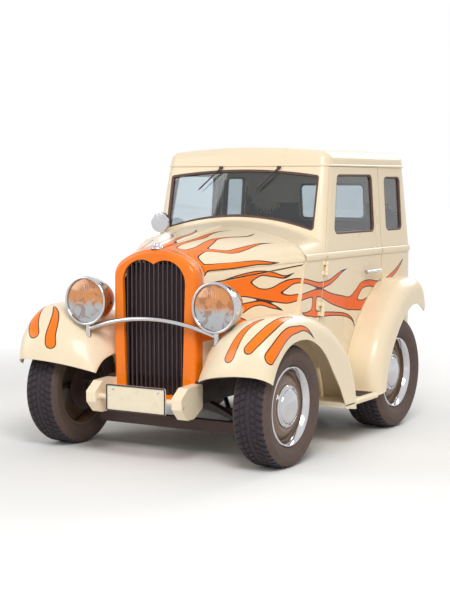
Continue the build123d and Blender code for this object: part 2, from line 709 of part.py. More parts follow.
# Engine, drive line, exhaust and tank
cross_low = RAIL_BOTTOM_Z + 45
engine = block(-ENGINE_HALF, ENGINE_HALF, ENGINE_FRONT_Y, ENGINE_REAR_Y, ENGINE_LOW_Z, ENGINE_HIGH_Z)
mount_y = ENGINE_FRONT_Y + 90
engine += block(-cross_in, cross_in, mount_y, mount_y + 60, RAIL_TOP_Z - 70, RAIL_TOP_Z - 30)
engine += block(-GEARBOX_HALF, GEARBOX_HALF, ENGINE_REAR_Y, GEARBOX_REAR_Y, cross_low, SILL_Z - 6)
engine += rod((0, GEARBOX_REAR_Y, REAR_TYRE_R + 50), (0, REAR_AXLE_Y - DIFF_R, REAR_TYRE_R), SHAFT_R)
exhaust = rod((-ENGINE_HALF, EXHAUST_Y, ENGINE_LOW_Z), (-RAIL_X, EXHAUST_Y + 60, EXHAUST_Z), PIPE_R)
exhaust += rod((-RAIL_X, EXHAUST_Y + 40, EXHAUST_Z), (-RAIL_X, EXHAUST_END_Y, EXHAUST_Z), PIPE_R)
exhaust += rod((-RAIL_X, MUFFLER_Y, EXHAUST_Z), (-RAIL_X, MUFFLER_Y + MUFFLER_L, EXHAUST_Z), MUFFLER_R)
exhaust += rod((-RAIL_X, MUFFLER_Y - 60, EXHAUST_Z), (-RAIL_X, MUFFLER_Y - 60, RAIL_BOTTOM_Z), 8)
exhaust += rod((-RAIL_X, RAIL_REAR_Y - 80, EXHAUST_Z), (-RAIL_X, RAIL_REAR_Y - 80, kick_bottom - tail_drop), 8)
exhaust -= block(-ENGINE_HALF, ENGINE_HALF, -FAR, FAR, 0, FAR)
tank = block(-cross_in, cross_in, TAIL_START_Y, RAIL_REAR_Y - 75, kick_bottom - tail_drop, kick_top - tail_drop)
tank = fillet(tank.edges().filter_by(Axis.X), 25)

# Axles and springs
eye_low = FRONT_TYRE_R - EYE_H / 2
eye_high = FRONT_TYRE_R + EYE_H / 2
eye = rod((KINGPIN_X, FRONT_AXLE_Y, eye_low), (KINGPIN_X, FRONT_AXLE_Y, eye_high), EYE_R)
beam_end = KINGPIN_X - EYE_R - 10
beam_face = make_face(Polyline(
    (-BEAM_HALF, BEAM_LOW_Z), (BEAM_HALF, BEAM_LOW_Z), (beam_end, FRONT_TYRE_R - EYE_H * 0.4),
    (KINGPIN_X, FRONT_TYRE_R - EYE_H * 0.4), (KINGPIN_X, FRONT_TYRE_R + EYE_H * 0.4),
    (beam_end - 12, FRONT_TYRE_R + EYE_H * 0.4), (BEAM_HALF - 25, BEAM_LOW_Z + BEAM_H),
    (-BEAM_HALF + 25, BEAM_LOW_Z + BEAM_H), (-beam_end + 12, FRONT_TYRE_R + EYE_H * 0.4),
    (-KINGPIN_X, FRONT_TYRE_R + EYE_H * 0.4), (-KINGPIN_X, FRONT_TYRE_R - EYE_H * 0.4),
    (-beam_end, FRONT_TYRE_R - EYE_H * 0.4), close=True))
front_axle = front_prism(beam_face, FRONT_AXLE_Y - BEAM_T / 2, FRONT_AXLE_Y + BEAM_T / 2)
for end in both_sides(eye):
    front_axle += end
for side in (-1, 1):
    front_axle += rod((side * (BEAM_HALF - 40), FRONT_AXLE_Y, BEAM_LOW_Z + 22),
                      (side * 60, CENTRE_CROSS_Y, RAIL_BOTTOM_Z - 12), RADIUS_ROD_R)
    pin_x = side * KINGPIN_X
    front_axle -= rod((pin_x, FRONT_AXLE_Y, 0), (pin_x, FRONT_AXLE_Y, FAR), KINGPIN_R + RUN_FIT)
front_axle -= frame
rear_axle = rod((-AXLE_END_X, REAR_AXLE_Y, REAR_TYRE_R), (AXLE_END_X, REAR_AXLE_Y, REAR_TYRE_R), AXLE_R)
rear_axle += rod((-DIFF_HALF, REAR_AXLE_Y, REAR_TYRE_R), (DIFF_HALF, REAR_AXLE_Y, REAR_TYRE_R), DIFF_R)
for side in (-1, 1):
    stub_x = side * (REAR_TRACK / 2 + SPINDLE_OUT)
    rear_axle += rod((side * AXLE_END_X, REAR_AXLE_Y, REAR_TYRE_R), (stub_x, REAR_AXLE_Y, REAR_TYRE_R), SPINDLE_R)
    perch_x = side * SPRING_HALF
    perch_y = REAR_SPRING_Y + SPRING_W / 2
    rear_axle += block(perch_x - 25, perch_x + 25, REAR_AXLE_Y, perch_y, REAR_TYRE_R - 75, REAR_TYRE_R - 30)
engine -= rear_axle


def leaf_spring(y, eye_z, crown_z):
    """A transverse leaf spring: one arched bundle, thick in the middle."""
    face = make_face([
        ThreePointArc((-SPRING_HALF, eye_z), (0, crown_z - SPRING_T), (SPRING_HALF, eye_z)),
        Line((SPRING_HALF, eye_z), (SPRING_HALF, eye_z + SPRING_T / 3)),
        ThreePointArc((SPRING_HALF, eye_z + SPRING_T / 3), (0, crown_z), (-SPRING_HALF, eye_z + SPRING_T / 3)),
        Line((-SPRING_HALF, eye_z + SPRING_T / 3), (-SPRING_HALF, eye_z)),
    ])
    return front_prism(face, y - SPRING_W / 2, y + SPRING_W / 2)


front_spring = leaf_spring(FRONT_AXLE_Y, BEAM_LOW_Z + BEAM_H + 12, RAIL_TOP_Z - 90)
rear_spring = leaf_spring(REAR_SPRING_Y, REAR_TYRE_R - 30, kick_bottom - 20)
front_spring = front_spring - front_axle

# Knuckles with their kingpins, spindles and arms, and the tie rod between them
ear_low = eye_low - 1 - EAR_T
ear_high = eye_high + 1
spindle_x = KINGPIN_X + EYE_R + 8
arm_y = FRONT_AXLE_Y + STEER_ARM
knuckle = rod((KINGPIN_X, FRONT_AXLE_Y, ear_low), (KINGPIN_X, FRONT_AXLE_Y, ear_high + EAR_T), KINGPIN_R)
for ear_z in (ear_low, ear_high):
    knuckle += rod((KINGPIN_X, FRONT_AXLE_Y, ear_z), (KINGPIN_X, FRONT_AXLE_Y, ear_z + EAR_T), EYE_R)
    knuckle += block(KINGPIN_X, spindle_x + 16, FRONT_AXLE_Y - 22, FRONT_AXLE_Y + 22, ear_z, ear_z + EAR_T)
knuckle += block(spindle_x, spindle_x + 16, FRONT_AXLE_Y - 22, FRONT_AXLE_Y + 22, ear_low, ear_high + EAR_T)
for start_x, end_x, radius in ((spindle_x, FRONT_TRACK / 2 + 30, SPINDLE_R), (spindle_x + 16, spindle_x + 24, BACKING_R)):
    knuckle += rod((start_x, FRONT_AXLE_Y, FRONT_TYRE_R), (end_x, FRONT_AXLE_Y, FRONT_TYRE_R), radius)
knuckle += block(KINGPIN_X - 11, KINGPIN_X + 11, FRONT_AXLE_Y, arm_y, ear_low, ear_low + EAR_T)
knuckle += rod((KINGPIN_X, arm_y, ear_low), (KINGPIN_X, arm_y, ear_low + EAR_T), 16)
knuckle += rod((KINGPIN_X, arm_y, ear_low - TIE_DROP - 12), (KINGPIN_X, arm_y, ear_low), TIE_PIN_R)
tie_z = ear_low - TIE_DROP
tie_rod = rod((-KINGPIN_X + 14, arm_y, tie_z), (KINGPIN_X - 14, arm_y, tie_z), TIE_ROD_R)
for side in (-1, 1):
    eye_x = side * KINGPIN_X
    tie_rod += rod((eye_x, arm_y, tie_z - TIE_EYE_HALF), (eye_x, arm_y, tie_z + TIE_EYE_HALF), 17)
    tie_rod -= rod((eye_x, arm_y, 0), (eye_x, arm_y, FAR), TIE_PIN_R + RUN_FIT)


def ring(x0, x1, y, z, outer, inner):
    """A plain ring about an axle."""
    return rod((x0, y, z), (x1, y, z), outer) - rod((x0, y, z), (x1, y, z), inner)


def turned(points, y, z):
    """A (radius, x) profile turned about an axle."""
    face = make_face(Polyline(*points, close=True))
    placed = Plane(origin=(0, y, z), x_dir=(0, 1, 0), z_dir=(0, 0, -1)) * face
    return revolve(placed, Axis((0, y, z), (1, 0, 0)))


def tyre(x, y, radius, width):
    """A tyre with bulged sidewalls, left-hand side of the car."""
    height = radius - RIM_R
    bead = 0.37 * width
    face = make_face([
        Line((RIM_R, -bead), (RIM_R, bead)),
        ThreePointArc((RIM_R, bead), (RIM_R + 0.5 * height, width / 2), (radius - 0.1 * height, 0.42 * width)),
        Line((radius - 0.1 * height, 0.42 * width), (radius, 0.32 * width)),
        Line((radius, 0.32 * width), (radius, -0.32 * width)),
        Line((radius, -0.32 * width), (radius - 0.1 * height, -0.42 * width)),
        ThreePointArc((radius - 0.1 * height, -0.42 * width), (RIM_R + 0.5 * height, -width / 2), (RIM_R, -bead)),
    ])
    placed = Plane(origin=(x, y, radius), x_dir=(0, 1, 0), z_dir=(0, 0, -1)) * face
    return revolve(placed, Axis((0, y, radius), (1, 0, 0)))


def wheel(x, y, radius, width):
    """Pressed steel wheel: barrel, dished disc, hub and domed cap, left-hand side of the car."""
    bead = 0.37 * width
    disc_x = x + DISC_OUT
    barrel = ring(x - bead, x + bead, y, radius, RIM_R - RIM_FIT, RIM_R - RIM_WALL)
    dish = turned([
        (SPINDLE_R, disc_x - 20), (RIM_R - RIM_WALL, disc_x - 34), (RIM_R - RIM_WALL, disc_x - 34 + DISC_T),
        (HUBCAP_R, disc_x + DISC_T), (HUBCAP_R - 8, disc_x + DISC_T + 20), (HUBCAP_R * 0.55, disc_x + DISC_T + 36),
        (0, disc_x + DISC_T + 42), (0, disc_x), (SPINDLE_R, disc_x),
    ], y, radius)
    hub = rod((x - HUB_IN, y, radius), (disc_x, y, radius), HUB_R)
    bore = rod((x - HUB_IN - 10, y, radius), (x + SPINDLE_OUT + 2, y, radius), SPINDLE_R + RUN_FIT)
    return barrel + dish + hub - bore


def turned_along(outline, x, z):
    """A (radius, y) outline turned about a lengthwise line."""
    placed = Pos(x, 0, z) * make_face(outline)
    return revolve(placed, Axis((x, 0, z), (0, 1, 0)))


def dome_arc(radius, y, rise):
    """A spherical dome's profile, from its rim in to the axis."""
    ball_r = (radius ** 2 + rise ** 2) / (2 * abs(rise))
    half = atan2(radius, ball_r - abs(rise)) / 2
    middle_drop = ball_r * (1 - cos(half))
    middle_y = y + rise - middle_drop * (1 if rise > 0 else -1)
    return ThreePointArc((radius, y), (ball_r * sin(half), middle_y), (0, y + rise))


# Headlamps on their arched bar
lamp_in = LAMP_R - 12
lens_back = LAMP_FRONT_Y + 14
lamp = turned_along([
    Line((0, lens_back), (lamp_in, lens_back)),
    Line((lamp_in, lens_back), (lamp_in, LAMP_FRONT_Y)),
    Line((lamp_in, LAMP_FRONT_Y), (LAMP_R, LAMP_FRONT_Y)),
    Line((LAMP_R, LAMP_FRONT_Y), (LAMP_R, LAMP_FRONT_Y + 26)),
    ThreePointArc((LAMP_R, LAMP_FRONT_Y + 26), (LAMP_R * 0.8, LAMP_FRONT_Y + LAMP_DEPTH * 0.55),
                  (24, LAMP_FRONT_Y + LAMP_DEPTH)),
    Line((24, LAMP_FRONT_Y + LAMP_DEPTH), (0, LAMP_FRONT_Y + LAMP_DEPTH)),
    Line((0, LAMP_FRONT_Y + LAMP_DEPTH), (0, lens_back)),
], LAMP_X, LAMP_Z)
lens_r = lamp_in - GLASS_FIT
lens = turned_along([
    Line((0, lens_back), (lens_r, lens_back)),
    Line((lens_r, lens_back), (lens_r, LAMP_FRONT_Y + 3)),
    dome_arc(lens_r, LAMP_FRONT_Y + 3, -17),
    Line((0, LAMP_FRONT_Y - 14), (0, lens_back)),
], LAMP_X, LAMP_Z)
bar_path = ThreePointArc((-LAMP_X, BAR_Y, BAR_END_Z), (0, BAR_Y - 12, BAR_MID_Z), (LAMP_X, BAR_Y, BAR_END_Z))
bar_start = Plane(origin=bar_path @ 0, z_dir=bar_path % 0)
lamp_bar = sweep(bar_start * Circle(BAR_R), path=bar_path)
for side, lamp_side, fender_side in zip((1, -1), both_sides(lamp), both_sides(front_fender)):
    stalk = rod((side * LAMP_X, BAR_Y, BAR_END_Z), (side * LAMP_X, BAR_Y, LAMP_Z), 17) - lamp_side
    foot = rod((side * LAMP_X, BAR_Y, 400), (side * LAMP_X, BAR_Y, BAR_END_Z), 17) - fender_side
    lamp_bar = lamp_bar + stalk.solids().sort_by(Axis.Z)[0] + foot.solids().sort_by(Axis.Z)[-1]
    lamp_bar -= fender_side

# Door hinges and handles
hinge_x = body_half(DOOR_FRONT_Y) + HINGE_OUT
pin_dir = (0, sin(radians(RAKE)), cos(radians(RAKE)))
door_left_full = door_left
hinge_parts = []
for hinge_z in DOOR_HINGE_Z:
    hinge_y = raked_y(DOOR_FRONT_Y - DOOR_GAP / 2, hinge_z)
    seat = Plane(origin=(hinge_x, hinge_y, hinge_z), x_dir=(1, 0, 0), z_dir=pin_dir)
    fixed_part = extrude(seat.offset(-HINGE_LONG) * Circle(PIN_R), amount=2 * HINGE_LONG)
    for low in (-HINGE_LONG, BARREL_HALF + 1):
        knuckle_len = HINGE_LONG - BARREL_HALF - 1
        fixed_part += extrude(seat.offset(low) * Circle(BARREL_R), amount=knuckle_len)
        leaf = seat.offset(low) * Pos(-LEAF / 2, -LEAF / 2, knuckle_len / 2) * Box(LEAF, LEAF, knuckle_len)
        fixed_part += leaf - form
    hinge_parts.append(fixed_part)
    barrel = extrude(seat.offset(-BARREL_HALF) * Circle(BARREL_R), amount=2 * BARREL_HALF)
    door_leaf = seat * Pos(-LEAF / 2, LEAF / 2, 0) * Box(LEAF, LEAF, 2 * BARREL_HALF)
    pin_room = extrude(seat.offset(-HINGE_LONG) * Circle(PIN_R + RUN_FIT), amount=2 * HINGE_LONG)
    door_left_full = door_left_full + (door_leaf - form) + barrel - pin_room
handle_x = body_half(HANDLE_Y) + HANDLE_OUT
handle_end = HANDLE_L / 2
handle = rod((handle_x, HANDLE_Y - handle_end, HANDLE_Z), (handle_x, HANDLE_Y + handle_end, HANDLE_Z), HANDLE_R)
for post_y in (HANDLE_Y - HANDLE_L / 4, HANDLE_Y + HANDLE_L / 4):
    handle += rod((handle_x - HANDLE_OUT - 10, post_y, HANDLE_Z), (handle_x, post_y, HANDLE_Z), HANDLE_R * 0.9)
handle -= form

# Cabin: dashboard, steering column and wheel, seats
dashboard = inner_form & side_prism([
    (raked_y(DASH_Y, DASH_LOW_Z), DASH_LOW_Z), (raked_y(DASH_Y, DASH_LOW_Z) + DASH_T, DASH_LOW_Z),
    (raked_y(DASH_Y, DASH_HIGH_Z) + DASH_T, DASH_HIGH_Z), (raked_y(DASH_Y, DASH_HIGH_Z), DASH_HIGH_Z),
], -FAR, FAR)
column_dir = (0, cos(radians(COLUMN_TILT)), sin(radians(COLUMN_TILT)))
wheel_seat = Plane(origin=(STEER_X, STEER_Y, STEER_Z), x_dir=(1, 0, 0), z_dir=column_dir)
column = extrude(wheel_seat.offset(-COLUMN_L) * Circle(20), amount=COLUMN_L - 22)
column += extrude(wheel_seat.offset(-40) * Circle(9), amount=50)
column -= ahead_of(COWL_Y + WALL / cos(radians(RAKE)))
steering_wheel = wheel_seat * Torus(STEER_R, STEER_RIM)
steering_wheel += extrude(wheel_seat.offset(-20) * Circle(32), amount=36)
for spoke in range(3):
    spoke_turn = radians(90 + 120 * spoke)
    tip = wheel_seat.from_local_coords((STEER_R * cos(spoke_turn), STEER_R * sin(spoke_turn), 0))
    steering_wheel += rod((STEER_X, STEER_Y, STEER_Z), tuple(tip), 7)
steering_wheel -= extrude(wheel_seat.offset(-60) * Circle(9 + RUN_FIT), amount=70 + 1)
seats = []
floor_top = floor_high + FLOOR_T
for seat_y, cushion_l, back_top in ((SEAT_Y, 400, 1250), (REAR_SEAT_Y, 300, 1200)):
    cushion = block(-SEAT_HALF, SEAT_HALF, seat_y, seat_y + cushion_l, floor_top, floor_top + CUSHION_T)
    seats.append(fillet(cushion.edges().group_by(Axis.Z)[-1], 30))
    back_y = seat_y + cushion_l + SEAM
    back = block(-SEAT_HALF, SEAT_HALF, back_y, back_y + BACK_T, floor_top, back_top)
    seats.append(fillet(back.edges().group_by(Axis.Z)[-1], 30))

# Mirror, wipers and tail lamps
stalk_y = MIRROR_Y + MIRROR_T / 2
mirror_part = rod((-MIRROR_X, MIRROR_Y, MIRROR_Z), (-MIRROR_X, MIRROR_Y + MIRROR_T, MIRROR_Z), MIRROR_R)
mirror_part += rod((-MIRROR_X + 60, stalk_y, MIRROR_Z - 120), (-MIRROR_X, stalk_y, MIRROR_Z), 8)
mirror_part -= form
wipers = []
for pivot_x in WIPER_X:
    pivot_y = raked_y(SCREEN_Y, WIPER_Z)
    tip_z = WIPER_Z - WIPER_DROP
    arm_start = (pivot_x, pivot_y - WIPER_OUT, WIPER_Z)
    arm_end = (pivot_x - WIPER_REACH, raked_y(SCREEN_Y, tip_z) - WIPER_OUT, tip_z)
    wiper = rod((pivot_x, pivot_y + 15, WIPER_Z), (pivot_x, pivot_y - WIPER_OUT - 6, WIPER_Z), 11) - form
    wipers.append(wiper.solids().sort_by(Axis.Y)[0] + rod(arm_start, arm_end, 4.5))
tail_lamp = turned_along([
    Line((0, BODY_REAR_Y), (TAIL_R, BODY_REAR_Y)),
    Line((TAIL_R, BODY_REAR_Y), (TAIL_R, BODY_REAR_Y + 6)),
    dome_arc(TAIL_R, BODY_REAR_Y + 6, 11),
    Line((0, BODY_REAR_Y + 17), (0, BODY_REAR_Y)),
], TAIL_X, TAIL_Z)

# Nodes
save("frame", frame)
save("frame_horns", *both_sides(horn), spreader)
save("number_plate", plate)
save("front_axle", front_axle)
save("rear_axle", rear_axle)
save("leaf_springs", front_spring, rear_spring)
save("engine", engine)
save("radiator", radiator)
save("exhaust", exhaust)
save("fuel_tank", tank)
save("floor_pan", floor_pan)
save("cowl", cowl)
save("windscreen_frame", windscreen_frame)
save("roof", roof)
save("quarter_panels", *both_sides(quarter_left))
save("rear_panel", rear_panel)
save("front_fenders", *both_sides(front_fender))
save("rear_fenders", *both_sides(rear_fender))
save("running_boards", *both_sides(board))
save("grille_shell", grille_shell)
save("grille_bars", *bars)
save("radiator_cap", cap)
save("hood_sides", *both_sides(hood_side))
save("hood_hinge", hinge_rod)
save("headlamp_shells", *both_sides(lamp))
save("headlamp_lenses", *both_sides(lens))
save("headlamp_bar", lamp_bar)
save("body_glass", screen_glass, *both_sides(quarter_glass), back_glass)
save("door_hinges", *both_sides(Compound(children=hinge_parts)))
save("dashboard", dashboard)
save("steering_column", column)
save("seats", *seats)
save("mirror", mirror_part)
save("wipers", *wipers)
save("tail_lamps", *both_sides(tail_lamp))
save("steering_wheel", steering_wheel)
save("tie_rod", tie_rod)
for side, pieces in (("left", 0), ("right", 1)):
    save("door_" + side, both_sides(door_left_full)[pieces])
    save("door_glass_" + side, both_sides(door_glass)[pieces])
    save("door_handle_" + side, both_sides(handle)[pieces])
    save("hood_" + side, both_sides(hood_left)[pieces])
    save("knuckle_" + side, both_sides(knuckle)[pieces])
    for place, track, axle_y, radius, width in (
        ("front", FRONT_TRACK, FRONT_AXLE_Y, FRONT_TYRE_R, FRONT_TYRE_W),
        ("rear", REAR_TRACK, REAR_AXLE_Y, REAR_TYRE_R, REAR_TYRE_W),
    ):
        save("tyre_" + place + "_" + side, both_sides(tyre(track / 2, axle_y, radius, width))[pieces])
        save("wheel_" + place + "_" + side, both_sides(wheel(track / 2, axle_y, radius, width))[pieces])
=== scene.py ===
import bmesh
import bpy
import numpy as np
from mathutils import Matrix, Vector


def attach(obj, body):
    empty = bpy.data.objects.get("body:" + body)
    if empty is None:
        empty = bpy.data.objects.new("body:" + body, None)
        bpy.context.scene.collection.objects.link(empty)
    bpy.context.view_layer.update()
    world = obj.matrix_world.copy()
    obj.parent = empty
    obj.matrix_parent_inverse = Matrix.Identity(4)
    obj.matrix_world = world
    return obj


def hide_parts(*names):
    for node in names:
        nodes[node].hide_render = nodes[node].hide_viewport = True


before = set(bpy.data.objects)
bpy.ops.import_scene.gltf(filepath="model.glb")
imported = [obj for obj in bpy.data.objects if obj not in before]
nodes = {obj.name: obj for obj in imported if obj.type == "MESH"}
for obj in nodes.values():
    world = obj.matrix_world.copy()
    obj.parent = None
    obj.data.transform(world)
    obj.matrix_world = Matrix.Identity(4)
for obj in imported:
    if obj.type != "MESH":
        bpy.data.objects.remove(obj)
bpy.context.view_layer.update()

# Frame rails, axles, springs and knuckles
# Pressed steel channel and forged beams, bolted together and brush painted in satin
# brown-black. Everything else on the car is bolted to these.


def srgb(text):
    """An sRGB hex colour as linear RGBA: the display curve is undone on each channel."""
    level = np.array([int(text[i:i + 2], 16) for i in (1, 3, 5)]) / 255.0
    linear = np.where(level <= 0.04045, level / 12.92, ((level + 0.055) / 1.055) ** 2.4)
    return (*linear.tolist(), 1.0)


def add(tree, kind, inputs=None, **settings):
    """Adds one node, sets its properties, and gives each named input a value or a link from a socket."""
    made = tree.nodes.new("ShaderNode" + kind)
    for key, value in settings.items():
        setattr(made, key, value)
    for key, value in (inputs or {}).items():
        if isinstance(value, bpy.types.NodeSocket):
            tree.links.new(value, made.inputs[key])
        else:
            made.inputs[key].default_value = value
    return made


def new_finish(name, **sockets):
    """A material with one Principled shader; its plain values go by socket name, with _ for a space."""
    made = bpy.data.materials.new(name)
    made.use_nodes = True
    made.node_tree.nodes.clear()
    values = {key.replace("_", " "): value for key, value in sockets.items()}
    shader = add(made.node_tree, "BsdfPrincipled", values)
    add(made.node_tree, "OutputMaterial", {"Surface": shader.outputs["BSDF"]})
    return made, made.node_tree, shader


def mottle(tree, shader, size_mm, low, high, rough=None, depth_mm=0.0, detail=3.0):
    """Colour, roughness and bump from one noise in Object coordinates whose lumps are size_mm across."""
    place = add(tree, "TexCoord")
    noise = add(tree, "TexNoise", {"Vector": place.outputs["Object"], "Scale": 1000.0 / size_mm,
                                   "Detail": detail})
    tint = add(tree, "Mix", {"Factor": noise.outputs["Fac"], "A": srgb(low), "B": srgb(high)},
               data_type="RGBA")
    tree.links.new(tint.outputs["Result"], shader.inputs["Base Color"])
    if rough:
        span = add(tree, "MapRange", {"Value": noise.outputs["Fac"], "From Min": 0.3, "From Max": 0.7,
                                      "To Min": rough[0], "To Max": rough[1]})
        tree.links.new(span.outputs["Result"], shader.inputs["Roughness"])
    if depth_mm:
        bump = add(tree, "Bump", {"Height": noise.outputs["Fac"], "Distance": depth_mm / 1000.0,
                                  "Strength": 1.0})
        tree.links.new(bump.outputs["Normal"], shader.inputs["Normal"])
    return noise, tint


def dress(material, *names):
    """Puts one finish on CAD nodes."""
    for name in names:
        nodes[name].data.materials.clear()
        nodes[name].data.materials.append(material)


# Chassis enamel: satin, brushed on thick, so it has slow lumps and a soft gloss.
chassis_enamel, tree, shader = new_finish("chassis_enamel", IOR=1.5)
mottle(tree, shader, 60, "#241A1C", "#352828", (0.38, 0.6), 0.25)
dress(chassis_enamel, "frame", "leaf_springs", "floor_pan", "radiator", "fuel_tank")
# Forged axle steel: as forged and painted, coarser and duller than the frame.
forged_steel, tree, shader = new_finish("forged_steel", IOR=1.5, Metallic=0.35)
mottle(tree, shader, 14, "#3A2C2A", "#54423C", (0.42, 0.66), 0.4)
dress(forged_steel, "front_axle", "rear_axle", "knuckle_left", "knuckle_right", "tie_rod", "steering_column")

# Engine, gearbox and exhaust
# The block is cast iron, sand cast and left rough under engine paint. The exhaust is
# drawn steel tube, browned by heat near the engine and hung from the rail on straps.
# Cast iron: sand cast and painted, rough all over.
cast_iron, tree, shader = new_finish("cast_iron", IOR=1.5, Metallic=0.4)
mottle(tree, shader, 5, "#3B3735", "#57504B", (0.5, 0.75), 0.6)
dress(cast_iron, "engine")
# Exhaust steel: bare drawn tube, dulled and browned in patches.
exhaust_steel, tree, shader = new_finish("exhaust_steel", Metallic=1.0)
mottle(tree, shader, 45, "#7A6E63", "#A39A8E", (0.28, 0.5), 0.1)
dress(exhaust_steel, "exhaust")

# Tyres
# Wide cross-ply road tyres, moulded black rubber: five ribs of tread blocks, a moulded
# ring on each sidewall, and the sidewall painted brown as a warm highlight.
HANDS = (("left", 1), ("right", -1))
# Each axle's tyres: middle across the car, place along it, radius and width, in metres
TYRE_SIZES = {"front": (0.6965, -0.880, 0.335, 0.221), "rear": (0.677, 0.550, 0.350, 0.260)}
RIM_R = 0.222
# The tyre's foot and the edges of its ribs and grooves from the shoulder in, as shares of its width
FOOT = 0.37
RIB_EDGES = np.array([0.32, 0.235, 0.195, 0.085, 0.045])
TREAD_PITCHES = 54
GROOVE_DEEP = 0.0075


def grid_faces(rows, columns, close_rows=False, close_columns=False):
    """Quads of a grid of rows x columns, as four index arrays, wrapped round where a direction closes."""
    i = np.arange(rows if close_rows else rows - 1)[:, None]
    j = np.arange(columns if close_columns else columns - 1)[None, :]
    ni, nj = (i + 1) % rows, (j + 1) % columns
    corners = [i * columns + j, i * columns + nj, ni * columns + nj, ni * columns + j]
    return np.stack(corners, -1).reshape(-1, 4)


def make_piece(name, points, faces, material, body, closed=False, sharp=35.0, **marks):
    """One object at the origin from points (n, 3) and faces; marks become float attributes, and a closed
    shape is welded and its faces turned outwards."""
    mesh = bpy.data.meshes.new(name)
    mesh.from_pydata(np.asarray(points).reshape(-1, 3).tolist(), [], np.asarray(faces).tolist())
    for key, values in marks.items():
        mark = mesh.attributes.new(key, "FLOAT", "POINT")
        mark.data.foreach_set("value", np.ravel(values).astype(np.float32))
    if closed:
        work = bmesh.new()
        work.from_mesh(mesh)
        bmesh.ops.remove_doubles(work, verts=work.verts, dist=1e-6)
        bmesh.ops.recalc_face_normals(work, faces=work.faces)
        work.to_mesh(mesh)
        work.free()
    mesh.shade_smooth()
    mesh.set_sharp_from_angle(angle=np.radians(sharp))
    mesh.materials.append(material)
    piece = bpy.data.objects.new(name, mesh)
    bpy.context.scene.collection.objects.link(piece)
    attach(piece, body)
    return piece


def ring_piece(name, points, material, body, sharp=35.0, **marks):
    """A closed piece from a grid that runs back into itself both ways, as a tyre or a rim does."""
    faces = grid_faces(*points.shape[:2], True, True)
    return make_piece(name, points, faces, material, body, closed=True, sharp=sharp, **marks)


def arc_through(first, middle, last, count):
    """Points along the circle through three points, at even steps of angle from first to last."""
    (ax, ay), (bx, by), (cx, cy) = first, middle, last
    det = 2 * (ax * (by - cy) + bx * (cy - ay) + cx * (ay - by))
    a, b, c = ax**2 + ay**2, bx**2 + by**2, cx**2 + cy**2
    ux = (a * (by - cy) + b * (cy - ay) + c * (ay - by)) / det
    uy = (a * (cx - bx) + b * (ax - cx) + c * (bx - ax)) / det
    angle = np.unwrap([np.arctan2(p[1] - uy, p[0] - ux) for p in (first, middle, last)])
    sweep = np.linspace(angle[0], angle[2], count)
    radius = np.hypot(ax - ux, ay - uy)
    return np.stack([ux + radius * np.cos(sweep), uy + radius * np.sin(sweep)], 1)


def tyre_surface(side, x, y, radius, width):
    """Rings about the axle: the section's radius, less a groove depth where a rib or block ends; blocks
    repeat TREAD_PITCHES times, and their cuts lean forward with distance from the middle."""
    height = radius - RIM_R
    wall = arc_through((RIM_R, FOOT * width), (RIM_R + 0.5 * height, width / 2),
                       (radius - 0.1 * height, 0.42 * width), 17)
    ring = 0.0025 * np.exp(-((wall[:, 0] - RIM_R - 0.28 * height) / 0.004) ** 2)
    ring += 0.0020 * np.exp(-((wall[:, 0] - RIM_R - 0.62 * height) / 0.005) ** 2)
    wall[:, 1] += ring - 0.0022
    lip = 0.004 / width
    half = np.concatenate([RIB_EDGES[:1], RIB_EDGES[1:] - lip, RIB_EDGES[1:] + lip])
    half = np.sort(half)[::-1]
    shoulder = np.array([[radius - 0.05 * height, 0.372 * width]])
    tread = np.stack([np.full(len(half), radius), half * width], 1)
    upper = np.concatenate([wall, shoulder, tread])
    section = np.concatenate([upper, upper[::-1] * [1, -1]])
    share = np.abs(section[:, 1]) / width
    on_tread = section[:, 0] > radius - 0.06 * height
    outer_groove = (share < RIB_EDGES[1] - lip / 2) & (share > RIB_EDGES[2] + lip / 2)
    inner_groove = (share < RIB_EDGES[3] - lip / 2) & (share > RIB_EDGES[4] + lip / 2)
    # One pitch of the tread: places along it, and where a block stands
    steps = np.array([0.0, 0.05, 0.38, 0.68, 0.73, 0.95])
    stands = np.array([0.0, 1.0, 1.0, 1.0, 0.0, 0.0])
    turn = (np.arange(TREAD_PITCHES)[:, None] + steps).ravel() / TREAD_PITCHES
    between = 1 - np.tile(stands, TREAD_PITCHES)[:, None]
    middle_rib = share < RIB_EDGES[4] + 0.005
    cut = np.where(middle_rib[None], 0.35 * between, between)
    cut = np.where((outer_groove | inner_groove)[None], 1.0, cut) * on_tread[None] * GROOVE_DEEP
    lean = np.where(on_tread, share / RIB_EDGES[0], 1.0) * 0.9 / TREAD_PITCHES
    angle = 2 * np.pi * (turn[:, None] + lean[None])
    r = section[None, :, 0] - cut
    across = np.broadcast_to(side * (x + section[None, :, 1]), angle.shape)
    points = np.stack([across, y + r * np.cos(angle), radius + r * np.sin(angle)], -1)
    marks = np.broadcast_to((on_tread * 1.0)[None], angle.shape)
    return points, marks


# Tyre rubber: vulcanised and moulded, matt; the sidewall is painted brown as a warm highlight, the tread
# stays dark, and noise lightens both in dust patches.
tyre_rubber, tree, shader = new_finish("tyre_rubber", IOR=1.52)
place = add(tree, "TexCoord")
dust = add(tree, "TexNoise", {"Vector": place.outputs["Object"], "Scale": 1000 / 35, "Detail": 4.0})
tread = add(tree, "Attribute", attribute_name="tread")
# Sidewall brown: a painted highlight on the black rubber.
sidewall_highlight = add(tree, "Mix", {"Factor": dust.outputs["Fac"], "A": srgb("#453631"), "B": srgb("#66524A")},
            data_type="RGBA")
black = add(tree, "Mix", {"Factor": dust.outputs["Fac"], "A": srgb("#201720"), "B": srgb("#352B30")},
            data_type="RGBA")
colour = add(tree, "Mix", {"Factor": tread.outputs["Fac"], "A": sidewall_highlight.outputs["Result"],
                           "B": black.outputs["Result"]}, data_type="RGBA")
tree.links.new(colour.outputs["Result"], shader.inputs["Base Color"])
rough = add(tree, "MapRange", {"Value": dust.outputs["Fac"], "To Min": 0.6, "To Max": 0.9})
